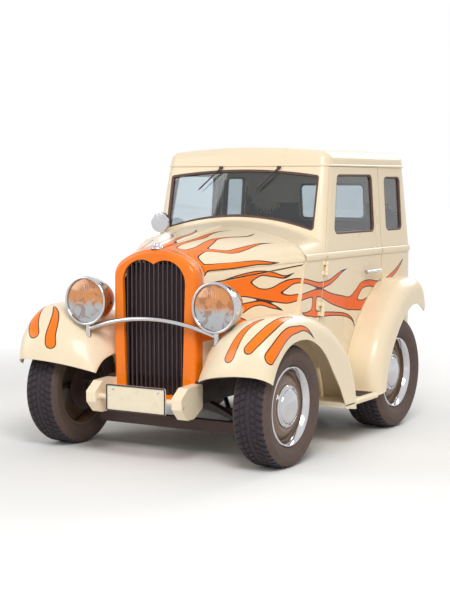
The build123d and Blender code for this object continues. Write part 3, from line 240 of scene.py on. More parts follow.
tree.links.new(rough.outputs["Result"], shader.inputs["Roughness"])
grain = add(tree, "TexNoise", {"Vector": place.outputs["Object"], "Scale": 1000 / 4, "Detail": 2.0})
bump = add(tree, "Bump", {"Height": grain.outputs["Fac"], "Distance": 0.0003})
tree.links.new(bump.outputs["Normal"], shader.inputs["Normal"])

for axle, (x, y, radius, width) in TYRE_SIZES.items():
    for hand, side in HANDS:
        corner = axle + "_" + hand
        points, marks = tyre_surface(side, x, y, radius, width)
        tyre = ring_piece("road_tyre_" + corner, points, tyre_rubber, "wheel_" + corner, 30.0, tread=marks)
        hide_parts("tyre_" + corner)

# Wheels, trim rings and hubcaps
# Pressed steel wheels, spun and welded, painted in brown enamel; a chromed trim ring snaps
# into the rim's edge and a chromed cap over the hub.
DISC = 0.046


def turned_surface(section, side, x, y, z, count=96):
    """A (radius, offset along the axle) section turned about the axle in even steps of angle."""
    angle = np.linspace(0, 2 * np.pi, count, endpoint=False)[:, None]
    r, off = section[:, 0][None], section[:, 1][None]
    across = np.broadcast_to(side * (x + off), (count, len(section)))
    return np.stack([across, y + r * np.cos(angle), z + r * np.sin(angle)], -1)


# Wheel enamel: sprayed and baked, an even semi-gloss brown with a little road haze.
wheel_enamel, tree, shader = new_finish("wheel_enamel", IOR=1.5, Coat_Weight=0.35, Coat_Roughness=0.15)
mottle(tree, shader, 90, "#6B5344", "#866C55", (0.28, 0.42), 0.05)
# Chromium plate on polished steel: greyer than silver, with slow ripples left by the buffing wheel.
chrome_plate, tree, shader = new_finish("chrome_plate", Metallic=1.0)
mottle(tree, shader, 160, "#BCBABE", "#D2D1D3", (0.05, 0.12), 0.05, 1.0)

for axle, (x, y, radius, width) in TYRE_SIZES.items():
    rim = FOOT * width
    dish = np.array([
        (0.2217, -rim), (0.2217, rim), (0.2165, rim), (0.2160, rim - 0.012), (0.2050, rim - 0.016),
        (0.2000, DISC - 0.004), (0.1900, DISC - 0.014), (0.1750, DISC - 0.006), (0.1560, DISC + 0.010),
        (0.1380, DISC + 0.018), (0.1200, DISC + 0.014), (0.1100, DISC + 0.012), (0.0, DISC + 0.012),
        (0.0, DISC - 0.004), (0.1200, DISC - 0.002), (0.1750, DISC - 0.022), (0.2050, DISC - 0.034),
        (0.2157, DISC - 0.030), (0.2157, -rim)])
    ring = np.array([
        (0.2160, rim - 0.010), (0.2190, rim - 0.002), (0.2215, rim + 0.0025), (0.2175, rim + 0.0060),
        (0.2110, rim + 0.0055), (0.2050, rim - 0.001), (0.1990, rim - 0.011), (0.1935, rim - 0.023),
        (0.1925, rim - 0.026), (0.1990, rim - 0.018)])
    skirt = np.array([
        (0.1165, DISC + 0.012), (0.1190, DISC + 0.015), (0.1180, DISC + 0.021), (0.1120, DISC + 0.027),
        (0.1080, DISC + 0.026), (0.1020, DISC + 0.028)])
    swell = np.linspace(0, np.pi / 2, 10)[:-1]
    dome = np.stack([0.094 * np.cos(swell) + 0.004, DISC + 0.030 + 0.0245 * np.sin(swell)], 1)
    cap = np.concatenate([skirt, dome, [(0.0, DISC + 0.0548), (0.0, DISC + 0.012)]])
    for hand, side in HANDS:
        corner = axle + "_" + hand
        points = turned_surface(dish, side, x, y, radius)
        wheel = ring_piece("steel_wheel_" + corner, points, wheel_enamel, "wheel_" + corner, 28.0)
        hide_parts("wheel_" + corner)
        for part, section in (("trim_ring_", ring), ("hub_cap_", cap)):
            points = turned_surface(section, side, x, y, radius)
            fitted = ring_piece(part + corner, points, chrome_plate, "wheel_" + corner, 28.0)

# Body tub: cowl, quarters and doors
# Pressed steel panels welded and hung over the wall's frame, filled, and sprayed in cream
# lacquer. Orange flames are masked and sprayed over it, and lined by brush in dark brown.
# Heights, then places along the car where the panels begin at the belt, in metres
BELT, SILL, DRIP, ROOF = 1.112, 0.455, 1.650, 1.765
NOSE_Y, COWL_Y, SCREEN_Y, DOOR_Y, REAR_Y = -0.972, -0.360, -0.150, -0.105, 1.245
RAKE = np.tan(np.radians(12))
COWL_HALF, REAR_HALF = 0.600, 0.634
NOSE_CREST, COWL_CREST = 1.180, 1.285
COWL_SHOULDER, COWL_CROWN = 0.130, 1.600
# How far the cabin has leant in and its back forward at the roof's height, and the rounds of its corners
LEAN_IN, LEAN_BACK = 0.042, 0.065
SCREEN_ROUND, REAR_ROUND, WINDOW_ROUND = 0.072, 0.210, 0.040
# A skin stands this far outside its panel; panels stop this far from a door, a lid and each other
SKIN = 0.0006
DOOR_GAP, LID_GAP, SEAM = 0.007, 0.0085, 0.001
# Licks: rows of place along the car, height unrolled over the shoulder, and half-width, in metres
LICKS = [
    [(-0.99, 0.930, 0.050), (-0.87, 0.950, 0.048), (-0.77, 0.985, 0.042), (-0.69, 1.020, 0.024),
     (-0.63, 1.035, 0.013), (-0.56, 1.025, 0.012), (-0.49, 1.010, 0.006), (-0.42, 1.035, -0.003)],
    [(-0.99, 0.900, 0.050), (-0.87, 0.930, 0.048), (-0.74, 0.955, 0.042), (-0.65, 0.925, 0.020),
     (-0.57, 0.925, 0.023), (-0.50, 0.955, 0.024), (-0.44, 0.980, 0.015), (-0.37, 0.980, 0.012),
     (-0.22, 0.950, 0.014), (-0.15, 0.945, 0.016), (-0.06, 0.955, 0.014), (0.03, 0.985, 0.011),
     (0.10, 1.010, 0.005), (0.18, 1.025, -0.003)],
    [(-0.74, 0.945, 0.030), (-0.63, 0.915, 0.026), (-0.54, 0.895, 0.027), (-0.47, 0.880, 0.023),
     (-0.39, 0.890, 0.017), (-0.27, 0.900, 0.019), (-0.17, 0.895, 0.023), (-0.04, 0.855, 0.030),
     (0.10, 0.825, 0.036), (0.21, 0.810, 0.036), (0.30, 0.860, 0.027), (0.37, 0.905, 0.021),
     (0.47, 0.915, 0.020), (0.59, 0.900, 0.021), (0.68, 0.900, 0.017), (0.78, 0.935, 0.013),
     (0.88, 0.975, 0.011), (0.94, 1.010, 0.007), (1.00, 1.055, -0.003)],
    [(0.21, 0.805, 0.036), (0.36, 0.785, 0.030), (0.46, 0.805, 0.021), (0.55, 0.825, 0.015),
     (0.61, 0.835, 0.011), (0.66, 0.810, 0.007), (0.67, 0.775, -0.003)],
    [(-0.25, 0.880, 0.022), (-0.26, 0.825, 0.022), (-0.26, 0.785, 0.020), (-0.16, 0.770, 0.014),
     (-0.01, 0.760, 0.010), (0.12, 0.745, 0.009), (0.21, 0.720, 0.007), (0.26, 0.685, 0.004),
     (0.28, 0.635, -0.003)],
    [(-0.26, 0.790, 0.020), (-0.33, 0.785, 0.013), (-0.38, 0.790, 0.006), (-0.41, 0.805, -0.003)],
    [(-0.99, 0.790, 0.050), (-0.83, 0.815, 0.040), (-0.75, 0.840, 0.026), (-0.69, 0.860, 0.014),
     (-0.63, 0.865, 0.011), (-0.57, 0.845, 0.010), (-0.53, 0.830, 0.005), (-0.49, 0.810, -0.003)],
    [(-0.99, 0.700, 0.070), (-0.86, 0.730, 0.060), (-0.77, 0.760, 0.030), (-0.71, 0.770, -0.003)],
    [(-0.99, 1.080, 0.021), (-0.81, 1.085, 0.018), (-0.66, 1.095, 0.012), (-0.58, 1.090, 0.006),
     (-0.52, 1.090, -0.003)],
    [(-0.98, 1.060, 0.030), (-0.97, 1.150, 0.034), (-0.96, 1.220, 0.040), (-0.97, 1.300, 0.044),
     (-0.97, 1.400, 0.030)],
    [(-0.96, 1.205, 0.040), (-0.83, 1.280, 0.026), (-0.71, 1.370, 0.020), (-0.64, 1.420, 0.012),
     (-0.56, 1.435, 0.007), (-0.49, 1.420, 0.005), (-0.44, 1.425, 0.003), (-0.37, 1.470, -0.003)],
    [(-0.94, 1.220, 0.040), (-0.85, 1.255, 0.024), (-0.79, 1.235, 0.018), (-0.73, 1.205, 0.019),
     (-0.65, 1.225, 0.018), (-0.56, 1.260, 0.011), (-0.49, 1.280, 0.005), (-0.41, 1.270, -0.003)],
    [(-0.95, 1.345, 0.030), (-0.85, 1.405, 0.018), (-0.75, 1.450, 0.013), (-0.66, 1.490, 0.016),
     (-0.56, 1.560, 0.011), (-0.47, 1.600, 0.005), (-0.38, 1.590, -0.003)],
]


def body_half(y):
    """Half-width of the body's side: a straight line that widens towards the back."""
    return COWL_HALF + (REAR_HALF - COWL_HALF) * (y - COWL_Y) / (REAR_Y - COWL_Y)


def raked(y, z):
    """A line that leans back with the body's rake and passes y at the belt."""
    return y + (z - BELT) * RAKE


def crest(y):
    """Height of the hood's crest: straight from the nose to the cowl, and on over it."""
    return NOSE_CREST + (y - NOSE_Y) * (COWL_CREST - NOSE_CREST) / (raked(COWL_Y, COWL_CREST) - NOSE_Y)


def arch(half, top, corner_r, crown_r, low, counts):
    """Left half of an arch section from low to the crest: upright side, shoulder arc, crown arc."""
    centre = top - crown_r
    shoulder = centre + np.sqrt((crown_r - corner_r) ** 2 - (half - corner_r) ** 2)
    lean = np.arctan2(shoulder - centre, half - corner_r)
    side, corner, crown = [np.linspace(0, 1, n) for n in counts]
    turn, sweep = lean * corner[1:], lean + (np.pi / 2 - lean) * crown[1:]
    x = [half + 0 * (shoulder + side), half - corner_r + corner_r * np.cos(turn), crown_r * np.cos(sweep)]
    z = [low + (shoulder - low) * side, shoulder + corner_r * np.sin(turn), centre + crown_r * np.sin(sweep)]
    return np.concatenate(x, -1), np.concatenate(z, -1)


def unrolled(x, z):
    """Height along the skin: z up the side, then on by the length walked over the shoulder."""
    walk = np.cumsum(np.hypot(np.diff(x, axis=1), np.diff(z, axis=1)), axis=1)
    walk = np.concatenate([0 * walk[:, :1], walk], 1)
    return z[:, :1] + walk


def trim(rows, faces, field):
    """Keeps the part of a triangle mesh where the field is under zero; a crossed triangle is cut on the
    straight line between its edges' zero points, and every column of its rows is shared out alike."""
    inside = field < 0
    count = inside[faces].sum(1)
    keep = [faces[count == 3]]
    part = faces[(count == 1) | (count == 2)]
    ends = np.sort(np.concatenate([part[:, [0, 1]], part[:, [1, 2]], part[:, [2, 0]]]), axis=1)
    ends = np.unique(ends[inside[ends[:, 0]] != inside[ends[:, 1]]], axis=0)
    share = (field[ends[:, 0]] / (field[ends[:, 0]] - field[ends[:, 1]]))[:, None]
    new = rows[ends[:, 0]] * (1 - share) + rows[ends[:, 1]] * share
    size = len(rows)
    keys = ends[:, 0] * size + ends[:, 1]

    def cut(a, b):
        return size + np.searchsorted(keys, np.minimum(a, b) * size + np.maximum(a, b))

    for wanted in (1, 2):
        some = faces[count == wanted]
        odd = np.argmax(inside[some] == (wanted == 1), axis=1)
        a, b, c = [some[np.arange(len(some)), (odd + k) % 3] for k in range(3)]
        if wanted == 1:
            keep.append(np.stack([a, cut(a, b), cut(a, c)], 1))
        else:
            keep += [np.stack([b, c, cut(a, c)], 1), np.stack([b, cut(a, c), cut(a, b)], 1)]
    rows, faces = np.concatenate([rows, new]), np.concatenate(keep)
    used, place = np.unique(faces, return_inverse=True)
    return rows[used], place.reshape(-1, 3)


def in_outline(spots, outline, round_r=0.0):
    """Signed distance to a polygon, under zero inside it; its corners are rounded by drawing it in and
    growing it again."""
    a = np.asarray(outline, float)
    b = np.roll(a, -1, axis=0)
    if round_r:
        along = (b - a) / np.linalg.norm(b - a, axis=1, keepdims=True)
        middle = a.mean(0)
        inward = np.stack([-along[:, 1], along[:, 0]], 1)
        inward *= np.sign(((middle - a) * inward).sum(1))[:, None]
        before = np.roll(inward, 1, axis=0)
        a = a + round_r * (inward + before) / (1 + (inward * before).sum(1))[:, None]
        b = np.roll(a, -1, axis=0)
    offset = spots[:, None] - a[None]
    edge = (b - a)[None]
    share = np.clip((offset * edge).sum(-1) / (edge ** 2).sum(-1), 0, 1)
    distance = np.linalg.norm(offset - share[..., None] * edge, axis=-1).min(1)
    rising = (a[None, :, 1] > spots[:, None, 1]) != (b[None, :, 1] > spots[:, None, 1])
    slope = (b - a)[:, 0] / np.where(np.abs((b - a)[:, 1]) < 1e-9, 1e-9, (b - a)[:, 1])
    left = spots[:, None, 0] < a[None, :, 0] + slope[None] * (spots[:, None, 1] - a[None, :, 1])
    return np.where((rising & left).sum(1) % 2 == 1, -distance, distance) - round_r


def past_wheel(rows, axle, radius):
    """Under zero outside a circle about an axle, in side view."""
    axle_y, axle_z = TYRE_SIZES[axle][1:3]
    return radius - np.hypot(rows[:, 1] - axle_y, rows[:, 2] - axle_z)


def through(knots, count):
    """A Catmull-Rom curve through rows of numbers, with count steps from each row to the next."""
    ends = np.concatenate([2 * knots[:1] - knots[1:2], knots, 2 * knots[-1:] - knots[-2:-1]])
    t = np.linspace(0, 1, count, endpoint=False)[None, :, None]
    p0, p1, p2, p3 = [ends[k:len(ends) - 3 + k][:, None] for k in range(4)]
    bend, twist = 2 * p0 - 5 * p1 + 4 * p2 - p3, 3 * p1 - p0 - 3 * p2 + p3
    curve = 0.5 * (2 * p1 + (p2 - p0) * t + bend * t**2 + twist * t**3)
    return np.concatenate([curve.reshape(-1, knots.shape[1]), knots[-1:]])


def licks_field(spots, licks, blend=0.007, far=0.12):
    """Signed distance from spots to the licks, and at most far. A lick is a Catmull-Rom curve through its
    rows with a half-width that tapers along it, to under zero so that the brushed line thins out too; licks
    run together like wet paint, by a smooth minimum."""
    total = np.zeros(len(spots))
    for lick in licks:
        knots = np.asarray(lick, float)
        curve = through(knots, 8)
        a, b = curve[:-1], curve[1:]
        reach = knots[:, -1].max() + far / 2
        low, high = curve[:, :-1].min(0) - reach, curve[:, :-1].max(0) + reach
        near = np.all((spots > low) & (spots < high), axis=1)
        offset = spots[near][:, None] - a[None, :, :-1]
        edge = (b - a)[None, :, :-1]
        share = np.clip((offset * edge).sum(-1) / np.maximum((edge ** 2).sum(-1), 1e-9), 0, 1)
        width = a[None, :, -1] + share * (b - a)[None, :, -1]
        distance = (np.linalg.norm(offset - share[..., None] * edge, axis=-1) - width).min(1)
        total[near] += np.exp(-np.clip(distance, -0.08, 0.2) / blend)
    return -blend * np.log(total + np.exp(-far / blend))


# Cream lacquer: nitrocellulose, sprayed and rubbed down, deep gloss over faint orange peel, drawn coarse
# to show.
CREAM = (420, "#F3DFBC", "#F8E8CB", (0.26, 0.34), 0.05)
cream_lacquer, tree, shader = new_finish("cream_lacquer", IOR=1.5, Specular_IOR_Level=0.35,
                                         Coat_Weight=0.25, Coat_Roughness=0.06)
mottle(tree, shader, *CREAM)
# Flame lacquer: the cream, the orange, painted paler towards the nose as a highlight and deeper towards the
# tips, and the brushed line between them.
flame_lacquer, tree, shader = new_finish("flame_lacquer", IOR=1.5, Specular_IOR_Level=0.3,
                                         Coat_Weight=0.2, Coat_Roughness=0.06)
noise, cream = mottle(tree, shader, *CREAM)
edge = add(tree, "Attribute", attribute_name="lick")
place = add(tree, "TexCoord")
along = add(tree, "SeparateXYZ", {"Vector": place.outputs["Object"]})
# The orange is paler towards the nose: a painted highlight.
fade = add(tree, "MapRange", {"Value": along.outputs["Y"], "From Min": -0.95, "From Max": 0.3})
orange = add(tree, "Mix", {"Factor": fade.outputs["Result"], "A": srgb("#FF7C00"), "B": srgb("#FA5F00")},
             data_type="RGBA")
inside = add(tree, "MapRange", {"Value": edge.outputs["Fac"], "From Min": 0.0004, "From Max": -0.0004})
paint = add(tree, "Mix", {"Factor": inside.outputs["Result"], "A": cream.outputs["Result"],
                          "B": orange.outputs["Result"]}, data_type="RGBA")
away = add(tree, "Math", {0: edge.outputs["Fac"]}, operation="ABSOLUTE")
line = add(tree, "MapRange", {"Value": away.outputs[0], "From Min": 0.0036, "From Max": 0.0028})
lined = add(tree, "Mix", {"Factor": line.outputs["Result"], "A": paint.outputs["Result"],
                          "B": srgb("#3A1C12")}, data_type="RGBA")
tree.links.new(lined.outputs["Result"], shader.inputs["Base Color"])


def painted(name, rows, faces, body):
    """Outer skins from rows (x, y, z, unrolled height): one for the left side and its mirror."""
    mark = licks_field(rows[:, [1, 3]], LICKS)
    for hand, side in HANDS:
        skin = make_piece(name + "_" + hand, rows[:, :3] * [side, 1, 1], faces[:, ::-side], flame_lacquer,
                          body.replace("HAND", hand), sharp=50.0, lick=mark)


def triangles(rows, columns):
    """A grid's quads, each split in two."""
    quads = grid_faces(rows, columns)
    return np.concatenate([quads[:, [0, 1, 2]], quads[:, [0, 2, 3]]])


# Outlines in side view (along the car, up): the door, and the openings for glass
DOOR = [(0.0079, 1.643), (0.650, 1.643), (0.650, 0.932), (0.5796, 0.9152), (0.4268, 0.8098),
        (0.3045, 0.7006), (0.1898, 0.5415), (0.1557, 0.455), (0.0257, 0.455), (-0.1926, 0.700)]
DOOR_WINDOW = [(0.0064, 1.236), (0.0833, 1.598), (0.570, 1.598), (0.570, 1.236)]
QUARTER_WINDOW = [(0.735, 1.236), (0.735, 1.585), (0.985, 1.585), (0.985, 1.236)]


def side_x(y, z):
    """Half-width of the body's side: upright to the belt, leaning in above it, and rounded into the
    windscreen's corner."""
    rise = np.clip((z - BELT) / (ROOF - BELT), 0, 1)
    into = np.clip(SCREEN_ROUND - (y - raked(SCREEN_Y, z)), 0, SCREEN_ROUND) * (z > BELT)
    return body_half(y) - LEAN_IN * rise - (SCREEN_ROUND - np.sqrt(SCREEN_ROUND ** 2 - into ** 2))


def cowl_rows(y, lift, low, counts):
    """The cowl: an arch section at each place along the car, lifted off along its own normals."""
    y = y[:, None]
    x, z = arch(body_half(y) + lift, crest(y) + lift, COWL_SHOULDER + lift, COWL_CROWN + lift, low, counts)
    return np.stack([x, y + 0 * x, z, unrolled(x, z)], -1)


def round_back(z, start, end, lift, counts):
    """The body from a place along its side round the corner to a place across its back: at each height a
    straight side that leans in, a quarter circle and a flat back, lifted off along their normals."""
    z = z[:, None]
    rise = np.clip((z - BELT) / (ROOF - BELT), 0, 1)
    last = REAR_Y - LEAN_BACK * rise - REAR_ROUND
    centre = body_half(last) - LEAN_IN * rise - REAR_ROUND
    share, turn, flat = [np.linspace(0, 1, n)[None] for n in counts]
    turn, flat, radius = turn[:, 1:] * np.pi / 2, flat[:, 1:], REAR_ROUND + lift
    y = start + (last - start) * share
    x = [body_half(y) - LEAN_IN * rise + lift, centre + radius * np.cos(turn), centre + (end - centre) * flat]
    y = [y, last + radius * np.sin(turn), last + radius + 0 * flat]
    x, y = np.concatenate(x, 1), np.concatenate(y, 1)
    return np.stack([x, y, z + 0 * x, z + 0 * x], -1)


dress(cream_lacquer, "cowl", "quarter_panels", "rear_panel", "windscreen_frame", "hood_sides", "hood_left",
      "hood_right", "door_left", "door_right", "front_fenders", "rear_fenders", "frame_horns")

grid = cowl_rows(np.linspace(-0.52, 0.20, 110), SKIN, SILL, (100, 24, 60))
rows, faces = grid.reshape(-1, 4), triangles(*grid.shape[:2])
rows, faces = trim(rows, faces, raked(COWL_Y + SEAM, rows[:, 2]) - rows[:, 1])
rows, faces = trim(rows, faces, np.minimum(rows[:, 2] - BELT, rows[:, 1] - raked(SCREEN_Y, rows[:, 2])))
rows, faces = trim(rows, faces, DOOR_GAP - in_outline(rows[:, 1:3], DOOR))
painted("cowl_skin", rows, faces, "chassis")

DOOR_EDGE = 0.0004
y, z = np.meshgrid(np.linspace(-0.22, 0.655, 150), np.linspace(SILL, 1.643, 190), indexing="ij")
rows = np.stack([side_x(y, z) + SKIN, y, z, z], -1).reshape(-1, 4)
rows, faces = trim(rows, triangles(*y.shape), in_outline(rows[:, 1:3], DOOR) + DOOR_EDGE)
rows, faces = trim(rows, faces, -in_outline(rows[:, 1:3], DOOR_WINDOW, WINDOW_ROUND))
painted("door_skin", rows, faces, "door_HAND")

grid = round_back(np.linspace(SILL, DRIP - SEAM, 130), 0.640, 0.4015, SKIN, (50, 28, 6))
rows, faces = grid.reshape(-1, 4), triangles(*grid.shape[:2])[:, ::-1]
rows, faces = trim(rows, faces, DOOR_GAP - in_outline(rows[:, 1:3], DOOR))
rows, faces = trim(rows, faces, -in_outline(rows[:, 1:3], QUARTER_WINDOW, WINDOW_ROUND))
rows, faces = trim(rows, faces, past_wheel(rows, "rear", 0.372))
painted("quarter_skin", rows, faces, "chassis")

# Roof
# One crowned steel pressing with a rolled rim, welded on above the drip moulding and
# sprayed in the same cream lacquer.
ROOF_R, RIM_FILLET, ROOF_WALL = 5.0, 0.060, 0.032


def roof_surface(count_top, lift):
    """Rings from the drip line up: the leaning wall, the rim's round, then the crown drawn to its middle.
    The rim is an arc that touches the wall and the crown in the plane across the outline, and all of it
    is lifted off the roof's outside."""
    front, rear = SCREEN_Y + (ROOF - BELT) * RAKE, REAR_Y - LEAN_BACK
    half_front, half_rear = body_half(front) - LEAN_IN, body_half(rear) - LEAN_IN
    # The outline at the roof's height, from the front's middle round the left side to the back's, and
    # the way that its outside faces
    a, b = np.radians(np.linspace(-90, 0, 14)), np.radians(np.linspace(0, 90, 24))
    line, side = np.linspace(0, 1, 14), np.linspace(0, 1, 44)[1:-1]
    front_line, rear_line = half_front - SCREEN_ROUND, half_rear - REAR_ROUND
    side_start, side_end = front + SCREEN_ROUND, rear - REAR_ROUND
    x = [front_line * line[:-1], front_line + SCREEN_ROUND * np.cos(a),
         half_front + (half_rear - half_front) * side, rear_line + REAR_ROUND * np.cos(b),
         rear_line * (1 - line[1:])]
    y = [front + 0 * line[:-1], side_start + SCREEN_ROUND * np.sin(a),
         side_start + (side_end - side_start) * side, side_end + REAR_ROUND * np.sin(b),
         rear + 0 * line[1:]]
    facing = [np.radians(-90) + 0 * line[:-1], a, 0 * side, b, np.radians(90) + 0 * line[1:]]
    x, y, facing = np.concatenate(x), np.concatenate(y), np.concatenate(facing)
    nx, ny = np.cos(facing), np.sin(facing)
    # The wall's lean and the crown's fall there, and the centre of the arc that touches both
    slant_in, slant_back = LEAN_IN / (ROOF - BELT), LEAN_BACK / (ROOF - BELT)
    lean = np.arctan(np.abs(nx) * slant_in + np.where(ny > 0, ny * slant_back, -ny * RAKE))
    near = x - nx * RIM_FILLET
    level = ROOF - (ROOF_R - np.sqrt(ROOF_R ** 2 - near ** 2))
    fall = np.arctan(near * nx / ROOF_R)
    wall = ROOF * np.sin(lean) - RIM_FILLET
    top = -RIM_FILLET * np.sin(fall) + level * np.cos(fall) - RIM_FILLET
    det = np.cos(lean) * np.cos(fall) - np.sin(lean) * np.sin(fall)
    centre_off = (wall * np.cos(fall) - top * np.sin(lean)) / det
    centre_z = (top * np.cos(lean) - wall * np.sin(fall)) / det
    sweep = lean + (np.pi / 2 - fall - lean) * np.linspace(0, 1, 12)[:, None]
    rim_off = centre_off + (RIM_FILLET + lift) * np.cos(sweep)
    rim_z = centre_z + (RIM_FILLET + lift) * np.sin(sweep)
    step = np.linspace(0, 1, 6)[:-1, None]
    foot_off = (ROOF - DRIP) * np.tan(lean) + lift
    off = np.concatenate([foot_off + (rim_off[:1] - foot_off) * step, rim_off])
    z = np.concatenate([DRIP + (rim_z[:1] - DRIP) * step, rim_z])
    px, py = x + nx * off, y + ny * off
    # The crown: straight in plan from the rim to a middle line 0.55 of the roof's length
    inward = np.linspace(0, 1, count_top)[1:, None]
    half_way = 0.5 * (front + rear)
    middle = half_way + 0.55 * (py[-1] - half_way)
    tx, ty = px[-1] * (1 - inward), py[-1] + (middle - py[-1]) * inward
    tz = ROOF - (ROOF_R - np.sqrt(ROOF_R ** 2 - tx ** 2)) + lift
    left = np.stack([np.concatenate([px, tx]), np.concatenate([py, ty]), np.concatenate([z, tz])], -1)
    return np.concatenate([left, left[:, ::-1] * [-1, 1, 1]], 1)


points = np.concatenate([roof_surface(16, 0.0)[::-1], roof_surface(10, -ROOF_WALL)])
roof_pressing = make_piece("roof_pressing", points, grid_faces(*points.shape[:2], False, True), cream_lacquer,
                           "chassis", closed=True, sharp=40.0)
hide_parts("roof")

# Hood
# Steel lids on a piano hinge along the crest, and fixed louvre-free sides below them, all in
# the body's cream, with the flames' roots at the nose.
# Half-width, crest, shoulder round and crown round of the arches that the hood is drawn between
NOSE_ARCH = np.array([0.275, NOSE_CREST, 0.110, 0.400])
BACK_ARCH = np.array([0.6372, 1.2904, COWL_SHOULDER, COWL_CROWN])
HOOD_BACK = -0.290
SPLIT_NOSE, SPLIT_COWL = 0.990, 1.080
HOOD_COUNTS = (100, 30, 90)


def hood_split(y):
    """Height of the line where a lid meets the hood's side: straight, rising to the cowl."""
    return SPLIT_NOSE + (y - NOSE_Y) * (SPLIT_COWL - SPLIT_NOSE) / (COWL_Y - NOSE_Y)


def hood_rows(y, lift, low, counts):
    """Straight lines between the arch at the nose and one behind the cowl's front edge, lifted off along
    the arches' own normals."""
    nose = np.stack(arch(*(NOSE_ARCH + lift), low, counts), -1)[None]
    back = np.stack(arch(*(BACK_ARCH + lift), low, counts), -1)[None]
    share = ((y - NOSE_Y) / (HOOD_BACK - NOSE_Y))[:, None, None]
    both = nose + (back - nose) * share
    x, z = both[..., 0], both[..., 1]
    return np.stack([x, y[:, None] + 0 * x, z, unrolled(x, z)], -1)


grid = hood_rows(np.linspace(NOSE_Y, -0.300, 120), SKIN, SILL, HOOD_COUNTS)
rows, faces = grid.reshape(-1, 4), triangles(*grid.shape[:2])
rows, faces = trim(rows, faces, hood_split(rows[:, 1]) + 0.0005 - rows[:, 2])
between = np.maximum(NOSE_Y + LID_GAP - rows[:, 1], rows[:, 1] - raked(COWL_Y - LID_GAP, rows[:, 2]))
rows, faces = trim(rows, faces, between)
rows, faces = trim(rows, faces, LID_GAP - rows[:, 0])
painted("lid_skin", rows, faces, "hood_HAND")

along = np.linspace(NOSE_Y, -0.365, 110)
grid = hood_rows(along, SKIN, SILL, HOOD_COUNTS)
rows, faces = grid.reshape(-1, 4), triangles(*grid.shape[:2])
rows, faces = trim(rows, faces, rows[:, 2] - hood_split(rows[:, 1]) + LID_GAP)
rows, faces = trim(rows, faces, rows[:, 1] - raked(COWL_Y - 2 * SEAM, rows[:, 2]))
rows, faces = trim(rows, faces, past_wheel(rows, "front", 0.345))
painted("hood_side_skin", rows, faces, "chassis")

# Hood hinge
# A rolled steel piano hinge on a rod along the crest, riveted to cowl and shell, and sprayed
# with the lids, so the flames' roots cross it at the nose.
knuckles = nodes["hood_hinge"].data
points = np.empty(3 * len(knuckles.vertices))
knuckles.vertices.foreach_get("co", points)
points = points.reshape(-1, 3)
corners = np.empty(len(knuckles.loops), int)
knuckles.loops.foreach_get("vertex_index", corners)
crest_walk = np.interp(points[:, 1], along, grid[:, -1, 3])
crest_mark = licks_field(np.stack([points[:, 1], crest_walk], 1), LICKS)
crest_hinge = make_piece("crest_hinge", points, corners.reshape(-1, 3), flame_lacquer, "chassis", closed=True,
                         sharp=30.0, lick=crest_mark)
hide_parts("hood_hinge")

# Fenders
# Deep steel pressings over each wheel, crowned across and rolled round a wire at the lip,
# bolted to hood and body. Front ones carry three teardrop licks each.
CREST_X, OUT_X, SHEET = 0.742, 0.836, 0.006
# Rows: angle about the axle, crest radius, lip radius, inner edge across, inner edge's drop, in degrees
# and metres
FRONT_FENDER = np.array([
    (152, 0.436, 0.340, 0.345, 0.150), (132, 0.492, 0.352, 0.335, 0.215), (110, 0.517, 0.362, 0.300, 0.258),
    (90, 0.503, 0.365, 0.270, 0.245), (62, 0.528, 0.380, 0.270, 0.220), (37, 0.611, 0.405, 0.330, 0.180),
    (18, 0.704, 0.440, 0.430, 0.130), (2, 0.770, 0.520, 0.500, 0.100), (-9, 0.804, 0.596, 0.520, 0.090)])
REAR_FENDER = np.array([
    (196, 0.392, 0.292), (180, 0.392, 0.262), (152, 0.392, 0.245), (125, 0.412, 0.262), (105, 0.460, 0.305),
    (87, 0.550, 0.372), (73, 0.615, 0.440), (61, 0.650, 0.470), (50, 0.590, 0.478)])
REAR_FENDER = np.concatenate([REAR_FENDER, np.full((9, 1), 0.585), np.full((9, 1), 0.012)], 1)


def fender_sheet(table, axle_y, axle_z, inner_edge, depth):
    """One face of the sheet, at a depth under the outside. Across: a crown arc from the inner edge to the
    crest, a quarter round, and a straight drop to the lip; along: the table's rows joined by curves."""
    rows = through(table, 12)
    turn, top, lip = np.radians(rows[:, :1]), rows[:, 1:2] - depth, rows[:, 2:3]
    span, drop = CREST_X - rows[:, 3:4], rows[:, 4:5]
    crown = (span ** 2 + drop ** 2) / (2 * drop)
    low = rows[:, 1:2] - drop
    start = np.maximum(rows[:, 3:4], inner_edge(axle_y + low * np.cos(turn), axle_z + low * np.sin(turn)))
    x = start + (CREST_X - start) * np.linspace(0, 1, 36)[None]
    r = top - crown + np.sqrt(np.maximum(crown ** 2 - (CREST_X - x) ** 2, 0))
    bend, fall = np.radians(np.linspace(0, 90, 13))[None, 1:], np.linspace(0, 1, 8)[None, 1:]
    radius = OUT_X - CREST_X - depth
    side = top - radius
    across = [x - CREST_X, radius * bend + 0 * turn, radius * np.pi / 2 + (side - lip) * fall]
    x = [x, CREST_X + radius * np.sin(bend) + 0 * turn, CREST_X + radius + 0 * (turn + fall)]
    r = [r, side + radius * np.cos(bend), side + (lip - side) * fall]
    across, x, r = np.concatenate(across, 1), np.concatenate(x, 1), np.concatenate(r, 1)
    place = np.stack([0.5 * turn + 0 * x, across], -1)
    return np.stack([x, axle_y + r * np.cos(turn), axle_z + r * np.sin(turn)], -1), place


def fender_faces(rows, columns):
    """The band's quads round both faces of the sheet, and the quads that close its two ends."""
    faces = grid_faces(rows, columns, False, True)
    j = np.arange(columns // 2 - 1)
    end = np.stack([j, j + 1, columns - 2 - j, columns - 1 - j], 1)
    return np.concatenate([faces, end, end + (rows - 1) * columns])


